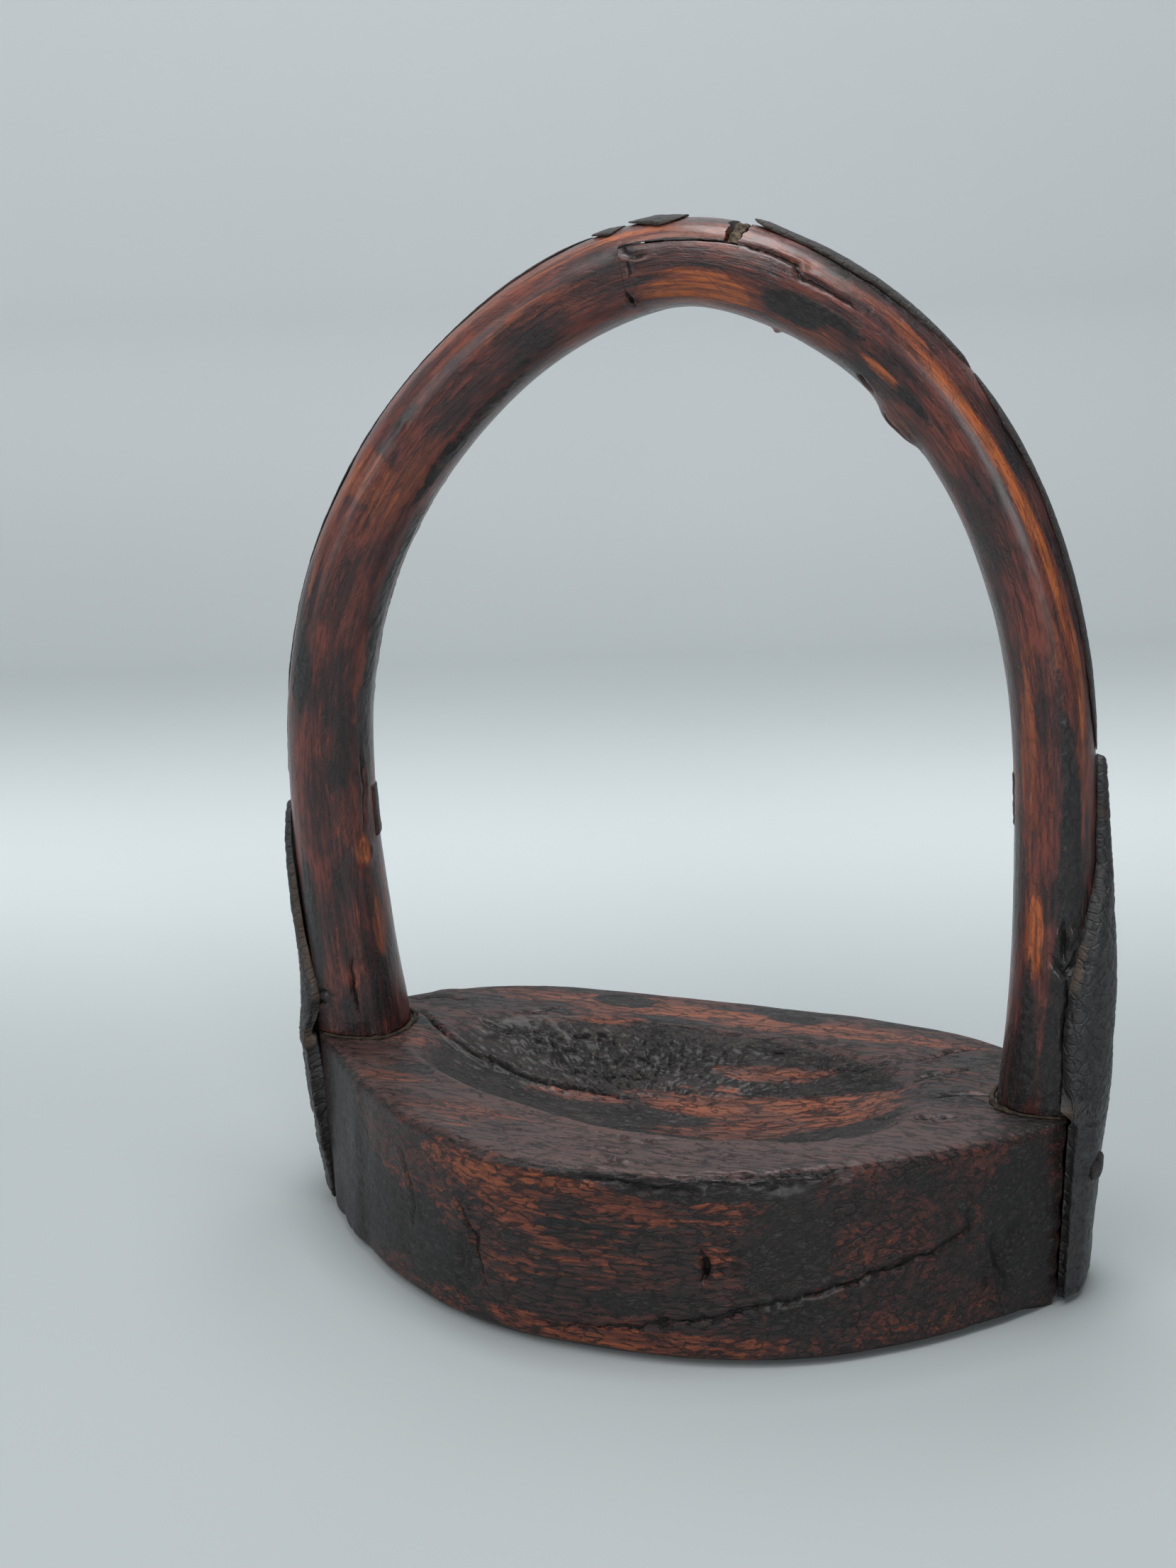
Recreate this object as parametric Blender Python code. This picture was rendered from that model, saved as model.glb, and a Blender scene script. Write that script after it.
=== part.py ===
"""Old lacquered bent-wood stirrup: two branches lapped at the crown, a thick dished tread
block, hide strips on the outer face of the bow and hide cheeks over the ends of the tread.

X is the width (right leg towards +X), the front looks towards -Y, Z is up, and the flat
base of the tread stands on Z = 0.  Sizes below are in millimetres; the mesh is in metres.
"""
import math

import bpy
import bmesh
import numpy as np

MM = 0.001
GAP = 0.3                     # clearance between pieces that touch
MIDDLE = (0.251, 0.105)       # middle of the bounding box in plan, brought to X = Y = 0

# ---- tread block -----------------------------------------------------------------------
TREAD_H = 34.5                # block height
FRONT_APEX = (-10.0, -38.4)   # foremost point of the lens-shaped plan at the top
FRONT_APEX_SHIFT = 8.0        # how far right that point lies at the base
FRONT_POWER_TOP = (1.8, 2.2)  # fullness of the front curve, left and right, at the top
FRONT_POWER_BASE = (2.3, 2.5)  # the same at the base
BACK_APEX = (-9.0, 38.6)      # rearmost point of the plan
BACK_POWER = (3.3, 5.0)       # fullness of the back curve, left and right
END_FRONT_Y = (2.2, 1.5)      # where the front curve meets the left and right end planes
END_BACK_Y = 16.6             # where the back curve meets the end planes
END_TOP_X = (-70.4, 71.3)     # end planes at the top of the block
END_UNDERCUT = (4.4, 1.0)     # how far each end plane leans in by the base
WORN_EDGE = 2.0               # rounding of the top edge
BASE_EDGE = 1.2               # rounding of the base edge
BELLY = 0.6                   # swell of the side wall at half height
DISH_C = (-2.0, 1.2)          # middle of the worn dish in the tread
DISH_A, DISH_B = 47.0, 23.3   # half length and half width of the dish
DISH_POWER = ((1.5, 2.3), (3.0, 2.8))  # fullness: front left and right, back left and right
DISH_D = 9.2                  # depth of the dish

# ---- bow -------------------------------------------------------------------------------
BOW_Y = 9.4                   # the bow stands a little behind the middle of the tread
BOW_PATH = [(-64.4, 34.5), (-66.0, 54.5), (-67.6, 90.0), (-62.5, 118.2), (-48.7, 144.1),
            (-28.8, 164.1), (-4.5, 176.2), (6.0, 177.2), (28.2, 170.1), (45.8, 155.1),
            (58.1, 134.3), (64.7, 109.4), (66.6, 80.5), (66.9, 54.5), (65.9, 34.5)]
# radius along the bow as (fraction of its length, radius)
BOW_R = [(0.0, 8.9), (0.06, 8.3), (0.18, 7.9), (0.34, 7.8), (0.5, 7.5), (0.66, 7.0),
         (0.86, 6.7), (0.93, 7.2), (1.0, 7.9)]
KNOT_X, KNOT_RISE, KNOT_LEN = 44.0, 1.6, 4.5   # knot on the inner side of the right shoulder
FOOT_SQUARE = 2.6             # squareness of the foot section (2 is round)
FOOT_LEN = 16.0               # length over which the foot squares up
TONGUE_END = 1.4              # height of the tongue's lower end above the base
TONGUE_TAPER = 0.7            # how much thinner the tongue is at its lower end
LAP_X = (-5.5, 10.8)          # ends of the lap at the crown
LAP_OFF = 4.4                 # lap face above the centre line
FILL_W = 1.6                  # width of the filler at the end of the outer lap
STRAP_FLAT_Z = 170.4          # worn flat under the crown, where the strap bears
LAP_PEG_X = (-1.6, 6.8)
PEG_R = 1.6
LAP_PEG_IN = 1.6              # the lap pins stop this far short of the inner face
TONGUE_PEG_Z = (27.5, 10.0)   # heights of the hidden tongue pegs
TONGUE_PEG_DY = 2.6
TONGUE_PEG_LEN = 12.0

# ---- hide ------------------------------------------------------------------------------
STRIP_T = 0.6                 # strip thickness
STRIP_HALF = 34.0             # half width of the strips, degrees round the section
FLAKE_X = (-10.2, -5.6, -4.6, 3.6, 13.2, 45.0)   # ends of the small and large flakes and
                                                 # of the right strip at the crown
CHEEK_T = (                   # cheek thickness as (height above the base, thickness)
    [(0, 3.0), (20, 2.8), (36, 2.2), (60, 1.7), (79, 1.3)],
    [(0, 2.2), (25, 2.4), (38, 3.1), (58, 3.4), (80, 2.5), (97, 1.6)])
CHEEK_BASE = 1.0              # height of the cheeks' lower edge
# half wrap of each cheek, as (height above the base, degrees round the section)
CHEEK_WRAP = (
    [(0, 42), (34.9, 45), (36.2, 50), (50, 40), (62, 30), (79, 9)],
    [(0, 42), (34.9, 46), (36.6, 70), (54, 66), (65, 52), (79, 29), (97, 8)])
CHEEK_TOP = (79.0, 97.0)
STUD_Z, STUD_PHI = 25.0, (math.radians(18.0), math.radians(-18.0))
STUD_HEAD_R, STUD_HEAD_H, STUD_SHANK_R = 3.0, 1.7, 0.9
SLIP_Z = (72.0, 82.0), (85.0, 94.5)   # inner slips: lower and upper ends
SLIP_W, SLIP_T = 3.8, 1.5
SLIP_DY = (2.2, -0.6)
FILLET_H, FILLET_W = 1.3, 1.1         # putty fillet round each foot

RING = 24                     # points round the bow section
CORNER = 4                    # ring points between outward and the edge of a cut face


def mix(a, b, t):
    return a + (b - a) * t


def smooth(t):
    t = min(1.0, max(0.0, t))
    return t * t * (3.0 - 2.0 * t)


def table(rows, x):
    return float(np.interp(x, [r[0] for r in rows], [r[1] for r in rows]))


# ---- centre line of the bow --------------------------------------------------------------
def natural_spline(t, v):
    """Second derivatives of a natural cubic spline through the values v at t."""
    n = len(t)
    a = np.zeros((n, n))
    rhs = np.zeros(n)
    a[0, 0] = a[-1, -1] = 1.0
    for i in range(1, n - 1):
        h0, h1 = t[i] - t[i - 1], t[i + 1] - t[i]
        a[i, i - 1], a[i, i], a[i, i + 1] = h0, 2 * (h0 + h1), h1
        rhs[i] = 6 * ((v[i + 1] - v[i]) / h1 - (v[i] - v[i - 1]) / h0)
    return np.linalg.solve(a, rhs)


def build_path(points, steps=40):
    p = np.array(points, float)
    t = np.concatenate([[0.0], np.cumsum(np.hypot(*np.diff(p, axis=0).T))])
    out = []
    m = [natural_spline(t, p[:, k]) for k in (0, 1)]
    for i in range(len(t) - 1):
        h = t[i + 1] - t[i]
        for j in range(steps):
            u = t[i] + h * j / steps
            a, b = (t[i + 1] - u) / h, (u - t[i]) / h
            out.append([a * p[i, k] + b * p[i + 1, k]
                        + ((a ** 3 - a) * m[k][i] + (b ** 3 - b) * m[k][i + 1]) * h * h / 6
                        for k in (0, 1)])
    out.append(list(p[-1]))
    out = np.array(out)
    s = np.concatenate([[0.0], np.cumsum(np.hypot(*np.diff(out, axis=0).T))])
    return s, out


PATH_S, PATH_XZ = build_path(BOW_PATH)
BOW_LEN = float(PATH_S[-1])


def path_at(s):
    return np.array([np.interp(s, PATH_S, PATH_XZ[:, 0]), np.interp(s, PATH_S, PATH_XZ[:, 1])])


def arc_at_x(x):
    """Arc length at which the upper part of the bow crosses a given x."""
    upper = PATH_XZ[:, 1] > 140.0
    return float(np.interp(x, PATH_XZ[upper, 0], PATH_S[upper]))


KNOT_S = arc_at_x(KNOT_X)


def arc_at_z(z, side):
    """Arc length at which the left (0) or right (1) leg crosses a given height."""
    if z <= TREAD_H:
        return z - TREAD_H if side == 0 else BOW_LEN + TREAD_H - z
    leg = (PATH_XZ[:, 0] < 0) if side == 0 else (PATH_XZ[:, 0] > 0)
    zz, ss = PATH_XZ[leg, 1], PATH_S[leg]
    if side == 1:
        zz, ss = zz[::-1], ss[::-1]
    low = np.argmax(zz > 150.0)
    return float(np.interp(z, zz[:low], ss[:low]))


def end_x(side, z):
    lean = END_UNDERCUT[side] * (1.0 - z / TREAD_H)
    return END_TOP_X[side] + (lean if side == 0 else -lean)


def frame_at(s):
    """Centre and outward normal of the bow; below the feet it follows the tread ends."""
    if s < 0 or s > BOW_LEN:
        side = 0 if s < 0 else 1
        z = TREAD_H + s if s < 0 else TREAD_H - (s - BOW_LEN)
        foot = BOW_PATH[0] if side == 0 else BOW_PATH[-1]
        x = foot[0] + end_x(side, z) - END_TOP_X[side]
        return np.array([x, z]), np.array([-1.0 if side == 0 else 1.0, 0.0])
    c = path_at(s)
    d = path_at(min(BOW_LEN, s + 0.5)) - path_at(max(0.0, s - 0.5))
    d /= np.hypot(*d)
    nrm = np.array([-d[1], d[0]])
    near = min(s, BOW_LEN - s)
    if near < FOOT_LEN:
        flat = np.array([-1.0 if s < BOW_LEN / 2 else 1.0, 0.0])
        nrm = mix(flat, nrm, smooth(near / FOOT_LEN))
        nrm /= np.hypot(*nrm)
    return c, nrm


def section(s, phi, off=0.0):
    """Outward and sideways offsets of the bow section at angle phi (0 is outward)."""
    r = table(BOW_R, min(1.0, max(0.0, s / BOW_LEN)))
    near = min(max(0.0, s), max(0.0, BOW_LEN - s))
    foot = 1.0 - smooth(near / FOOT_LEN)
    power = 2.0 / mix(2.0, FOOT_SQUARE, foot)
    thin = 0.0
    if s < 0 or s > BOW_LEN:
        below = -s if s < 0 else s - BOW_LEN
        thin = TONGUE_TAPER * below / TREAD_H
    side_r = mix(r, r - 0.9, foot)
    c, q = math.cos(phi), math.sin(phi)
    if c < 0:
        r += KNOT_RISE * c * c * math.exp(-((s - KNOT_S) / KNOT_LEN) ** 2)
    out = math.copysign(abs(c) ** power, c) * (r + off - (thin if c > 0 else 0.0))
    side = math.copysign(abs(q) ** power, q) * (side_r + off)
    return out, side


def place(s, out, side):
    c, nrm = frame_at(s)
    return (c[0] + nrm[0] * out, BOW_Y + side, c[1] + nrm[1] * out)


def surface_at(s, phi, off):
    """Point and outward normal on the bow's surface, off outside the wood."""
    p = np.array(place(s, *section(s, phi, off)))
    along = np.array(place(s + 0.5, *section(s + 0.5, phi, off))) - p
    around = np.array(place(s, *section(s, phi + 0.05, off))) - p
    normal = np.cross(around, along)
    normal /= np.linalg.norm(normal)
    c, _ = frame_at(s)
    if normal @ (p - np.array([c[0], BOW_Y, c[1]])) < 0:
        normal = -normal
    return p, normal


# ---- mesh helpers ------------------------------------------------------------------------
def rgb(r, g, b):
    return (r, g, b, 1.0)


def material(name, colour, rough, metal=0.0):
    mat = bpy.data.materials.new(name)
    mat.use_nodes = True
    bsdf = mat.node_tree.nodes["Principled BSDF"]
    bsdf.inputs["Base Color"].default_value = colour
    bsdf.inputs["Roughness"].default_value = rough
    bsdf.inputs["Metallic"].default_value = metal
    mat.diffuse_color = colour
    return mat


def make_object(name, verts, faces, mat):
    mesh = bpy.data.meshes.new(name)
    bm = bmesh.new()
    vs = [bm.verts.new(((x - MIDDLE[0]) * MM, (y - MIDDLE[1]) * MM, z * MM))
          for x, y, z in verts]
    for f in faces:
        try:
            bm.faces.new([vs[i] for i in f])
        except ValueError:
            pass
    bmesh.ops.remove_doubles(bm, verts=bm.verts, dist=2e-6)
    bmesh.ops.recalc_face_normals(bm, faces=bm.faces)
    if bm.calc_volume(signed=True) < 0:
        bmesh.ops.reverse_faces(bm, faces=bm.faces)
    bm.to_mesh(mesh)
    bm.free()
    mesh.materials.append(mat)
    obj = bpy.data.objects.new(name, mesh)
    bpy.context.scene.collection.objects.link(obj)
    return obj


def stack(rings):
    """Closed body from a list of equal-length rings, with flat ends."""
    n = len(rings[0])
    verts = [p for r in rings for p in r]
    faces = [tuple(range(n))[::-1], tuple(range((len(rings) - 1) * n, len(rings) * n))]
    for k in range(len(rings) - 1):
        for i in range(n):
            j = (i + 1) % n
            faces.append((k * n + i, k * n + j, (k + 1) * n + j, (k + 1) * n + i))
    return verts, faces


def shell(rows_in, rows_out):
    """Closed slab between two grids of points of the same size."""
    nr, nc = len(rows_in), len(rows_in[0])
    verts = [p for r in rows_in for p in r] + [p for r in rows_out for p in r]
    base = nr * nc
    faces = []
    for i in range(nr - 1):
        for j in range(nc - 1):
            a, b, c, d = i * nc + j, i * nc + j + 1, (i + 1) * nc + j + 1, (i + 1) * nc + j
            faces.append((a, b, c, d))
            faces.append((base + d, base + c, base + b, base + a))
    edge = ([j for j in range(nc)] + [i * nc + nc - 1 for i in range(1, nr)]
            + [(nr - 1) * nc + j for j in range(nc - 2, -1, -1)]
            + [i * nc for i in range(nr - 2, 0, -1)])
    for k, a in enumerate(edge):
        b = edge[(k + 1) % len(edge)]
        faces.append((b, a, base + a, base + b))
    return verts, faces


def disc(centre, axis, r, n):
    """Ring of n points square to an axis."""
    u = np.cross(axis, (0.0, 1.0, 0.0) if abs(axis[1]) < 0.9 else (1.0, 0.0, 0.0))
    u /= np.linalg.norm(u)
    v = np.cross(axis, u)
    return [tuple(centre + r * (math.cos(t) * u + math.sin(t) * v))
            for t in (2 * math.pi * k / n for k in range(n))]


def rod_mesh(start, end, radius, n=16):
    """Round rod between two points."""
    a, b = np.array(start, float), np.array(end, float)
    axis = (b - a) / np.linalg.norm(b - a)
    return stack([disc(a, axis, radius, n), disc(b, axis, radius, n)])


def cutter(name, verts, faces, mat):
    obj = make_object(name, verts, faces, mat)
    obj.display_type = 'WIRE'
    obj.hide_render = True
    return obj


def drill(target, tool):
    mod = target.modifiers.new("cut_" + tool.name, 'BOOLEAN')
    mod.operation = 'DIFFERENCE'
    mod.solver = 'EXACT'
    mod.object = tool


# ---- the pieces --------------------------------------------------------------------------
def lens_y(x, back, z=TREAD_H):
    """Front or back edge of the tread's plan at a given x and height."""
    low = 1.0 - z / TREAD_H
    if back:
        apex, powers, ends = BACK_APEX, BACK_POWER, (END_BACK_Y, END_BACK_Y)
    else:
        apex = (FRONT_APEX[0] + FRONT_APEX_SHIFT * low, FRONT_APEX[1])
        powers = [mix(a, b, low) for a, b in zip(FRONT_POWER_TOP, FRONT_POWER_BASE)]
        ends = END_FRONT_Y
    side = 0 if x < apex[0] else 1
    t = abs((x - apex[0]) / (END_TOP_X[side] - apex[0]))
    return ends[side] + (apex[1] - ends[side]) * (1.0 - min(1.0, t) ** powers[side])


def tread_outline(z, n_long=26, n_end=5):
    """Closed plan of the block at height z, front edge first, then right end, back, left."""
    x0, x1 = end_x(0, z), end_x(1, z)
    ts = [0.5 - 0.5 * math.cos(math.pi * k / n_long) for k in range(n_long + 1)]
    swell = BELLY * math.sin(math.pi * z / TREAD_H)
    pts = []
    for t in ts:
        x = mix(x0, x1, t)
        pts.append((x, lens_y(x, False, z) - swell * math.sin(math.pi * t), 1.0))
    ya, yb = lens_y(x1, False, z), lens_y(x1, True)
    pts += [(x1, mix(ya, yb, k / n_end), 0.15) for k in range(1, n_end)]
    for t in ts[::-1]:
        x = mix(x0, x1, t)
        pts.append((x, lens_y(x, True) + swell * math.sin(math.pi * t), 1.0))
    ya, yb = lens_y(x0, True), lens_y(x0, False, z)
    pts += [(x0, mix(ya, yb, k / n_end), 0.15) for k in range(1, n_end)]
    return pts


def tread_ring(z, inset):
    ring = []
    for x, y, w in tread_outline(z):
        lean_x, lean_y = DISH_C[0] - x, DISH_C[1] - y
        flat = 1.0 if min(abs(x - end_x(0, z)), abs(x - end_x(1, z))) > 3.0 else 0.15
        k = inset * min(w, flat) / math.hypot(lean_x * 0.25, lean_y)
        ring.append((x + lean_x * k * 0.25, y + lean_y * k, z))
    return ring


def rim_point(x, y, k):
    """Point at fraction k of the way from the dish centre to its rim, towards (x, y)."""
    dx, dy = x - DISH_C[0], y - DISH_C[1]
    p = DISH_POWER[dy > 0][dx > 0]
    r = (abs(dx / DISH_A) ** p + abs(dy / DISH_B) ** p) ** (1 / p)
    depth = DISH_D * (1.0 - k ** 2.4) ** 0.9
    return (DISH_C[0] + dx / r * k, DISH_C[1] + dy / r * k, TREAD_H - depth)


def tread_block(mat):
    top = tread_outline(TREAD_H)
    rings = [tread_ring(0.0, BASE_EDGE), tread_ring(BASE_EDGE * 0.8, 0.2),
             tread_ring(TREAD_H * 0.3, 0.0), tread_ring(TREAD_H * 0.62, 0.0),
             tread_ring(TREAD_H - WORN_EDGE, 0.0), tread_ring(TREAD_H - 0.5, WORN_EDGE * 0.4),
             tread_ring(TREAD_H, WORN_EDGE * 1.2)]
    rings += [[rim_point(x, y, k) for x, y, _ in top] for k in (1.0, 0.93, 0.8, 0.6, 0.35)]
    n = len(top)
    verts = [p for r in rings for p in r] + [(DISH_C[0], DISH_C[1], TREAD_H - DISH_D)]
    faces = [tuple(range(n))[::-1]]
    for k in range(len(rings) - 1):
        for i in range(n):
            j = (i + 1) % n
            faces.append((k * n + i, k * n + j, (k + 1) * n + j, (k + 1) * n + i))
    last = (len(rings) - 1) * n
    faces += [(last + i, last + (i + 1) % n, len(verts) - 1) for i in range(n)]
    return make_object("tread_block", verts, faces, mat)


def ring_angles(corner):
    """Ring angles with the points CORNER steps either side of outward at the given angle."""
    half = np.interp(range(RING // 2 + 1), [0, CORNER, RING // 2], [0.0, corner, math.pi])
    return list(half) + [2 * math.pi - a for a in half[-2:0:-1]]


def corner_angle(s, level):
    """Angle at which the section's outward offset falls to level."""
    angles = np.linspace(0.0, math.pi / 2, 400)
    outs = [section(s, a)[0] for a in angles]
    return float(np.interp(-level, [-o for o in outs], angles))


def bow_ring(s, low=None, high=None, tongue=False):
    """One ring of the bow; low, high or the tread's end cut it across its outward normal."""
    c, _ = frame_at(s)
    side_no = 0 if s < BOW_LEN / 2 else 1
    if tongue:
        low = abs(end_x(side_no, c[1]) - c[0]) + GAP
    foot = 1.0 - smooth(min(max(0.0, s), max(0.0, BOW_LEN - s)) / FOOT_LEN)
    lap = 1.0 - smooth(min(abs(s - arc_at_x(x)) for x in LAP_X) / 14.0)
    if arc_at_x(LAP_X[0]) < s < arc_at_x(LAP_X[1]):
        lap = 1.0
    level = low if low is not None else high
    if level is None and foot > 0:
        level = abs(END_TOP_X[side_no] - c[0]) + GAP
        corner = mix(math.radians(60), corner_angle(s, level), foot)
    elif level is None:
        corner = mix(math.radians(60), corner_angle(s, LAP_OFF), lap)
    else:
        corner = corner_angle(s, level)
    edge = section(s, corner)[1]
    ring = []
    for k, phi in enumerate(ring_angles(corner)):
        out, side = section(s, phi)
        up = min(k, RING - k)                      # steps away from outward
        sign = 1.0 if k < RING / 2 else -1.0
        if low is not None and up >= CORNER:
            t = (up - CORNER) / (RING / 2 - CORNER)
            out, side = low, sign * edge * (1.0 - t)
        if high is not None and up <= CORNER:
            out, side = high, sign * edge * up / CORNER
        x, y, z = place(s, out, side)
        if out < 0 and STRAP_FLAT_Z - 1.6 < z < STRAP_FLAT_Z:
            z = STRAP_FLAT_Z
        ring.append((x, y, z))
    return ring


def arc_steps(a, b, step):
    n = max(1, round(abs(b - a) / step))
    return [a + (b - a) * k / n for k in range(n + 1)]


def bow_half(side, mat):
    s_a, s_b = arc_at_x(LAP_X[0]), arc_at_x(LAP_X[1])
    rings = []
    tongue_s = [TONGUE_END - TREAD_H, -22.0, -11.0, GAP]
    if side == 0:
        rings += [bow_ring(s, tongue=True) for s in tongue_s]
        rings += [bow_ring(s) for s in arc_steps(GAP, s_a - GAP, 6.5)]
        rings += [bow_ring(s, low=LAP_OFF + GAP / 2)
                  for s in [s_a - GAP] + arc_steps(s_a, s_b, 5.0)]
        name = "bow_left"
    else:
        start = s_b + FILL_W + 2 * GAP
        rings += [bow_ring(s, high=LAP_OFF - GAP / 2)
                  for s in arc_steps(s_a, s_b, 5.0) + [start]]
        rings += [bow_ring(s) for s in arc_steps(start, BOW_LEN - GAP, 6.5)]
        rings += [bow_ring(BOW_LEN - t, tongue=True) for t in tongue_s[::-1]]
        name = "bow_right"
    verts, faces = stack(rings)
    return make_object(name, verts, faces, mat)


def patch(s_list, half_deg, off, thick, cols=8, centre=0.0):
    """Grid of points over the outer face of the bow, as an inner and an outer sheet."""
    inner, outer = [], []
    for k, s in enumerate(s_list):
        half = half_deg[k] if isinstance(half_deg, (list, tuple)) else half_deg
        lift = off[k] if isinstance(off, (list, tuple)) else off
        full = thick[k] if isinstance(thick, (list, tuple)) else thick
        row_i, row_o = [], []
        for j in range(cols + 1):
            phi = math.radians(centre + half * (2.0 * j / cols - 1.0))
            edge = 1.0 - 0.35 * abs(2.0 * j / cols - 1.0) ** 3
            row_i.append(place(s, *section(s, phi, lift)))
            row_o.append(place(s, *section(s, phi, lift + full * edge)))
        inner.append(row_i)
        outer.append(row_o)
    return inner, outer


def hide_strip(name, s0, s1, mat, lift0=0.0, lift1=0.0, half=STRIP_HALF, step=7.0):
    """Hide strip on the outer face; lift raises it off the wood at either end."""
    ss = arc_steps(s0, s1, step)
    offs = [GAP + lift0 * max(0.0, 1 - (s - s0) / 9.0) ** 2
            + lift1 * max(0.0, 1 - (s1 - s) / 9.0) ** 2 for s in ss]
    a, b = patch(ss, half, offs, STRIP_T)
    return make_object(name, *shell(a, b), mat)


def cheek(side, mat):
    """Thick hide round the outer side of one foot and down the end of the tread."""
    heights = [CHEEK_BASE, 9.0, 17.0, 25.0, TREAD_H - 1.5, TREAD_H + 0.4, 36.6, 40.0, 46.0, 53.0]
    top = CHEEK_TOP[side]
    heights += [mix(53.0, top, k / 5) for k in range(1, 6)]
    rows = sorted((arc_at_z(h, side), h) for h in heights)
    ss = [r[0] for r in rows]
    halves = [table(CHEEK_WRAP[side], r[1]) for r in rows]
    thick = [table(CHEEK_T[side], r[1]) for r in rows]
    a, b = patch(ss, halves, GAP, thick, cols=10)
    return make_object(("cheek_left", "cheek_right")[side], *shell(a, b), mat)


def seat_fillet(side, mat):
    """Putty fillet on the tread, round the inner side of one foot."""
    s = GAP if side == 0 else BOW_LEN - GAP
    c, nrm = frame_at(s)
    lo, hi = math.radians(68), math.radians(292)
    n = 18
    rings = []
    for k in range(n + 1):
        phi = mix(lo, hi, k / n)
        taper = min(1.0, 0.45 + 2.2 * min(k, n - k) / n)
        pts = []
        for width, height in ((0.0, 0.0), (FILLET_W * taper, 0.0),
                              (FILLET_W * taper * 0.75, FILLET_H * taper * 0.5),
                              (0.0, FILLET_H * taper)):
            out, side_off = section(s, phi, GAP + 0.25 + width)
            pts.append((c[0] + nrm[0] * out, BOW_Y + side_off, TREAD_H + GAP + height))
        rings.append(pts)
    return make_object(("seat_putty_left", "seat_putty_right")[side], *stack(rings), mat)


def slip_box(side, clearance, depth_in, depth_out):
    """Six-sided slip or pocket on the inner face of a leg, between two heights."""
    z0, z1 = SLIP_Z[side]
    mid = SLIP_DY[side]
    rings = []
    for z in (z0 - clearance, z1 + clearance):
        s = arc_at_z(z, side)
        r = table(BOW_R, s / BOW_LEN)
        half = SLIP_W / 2 + clearance
        rings.append([place(s, -r + depth_in, mid - half), place(s, -r + depth_in, mid + half),
                      place(s, -r - depth_out, mid + half), place(s, -r - depth_out, mid - half)])
    return stack(rings)


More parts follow.
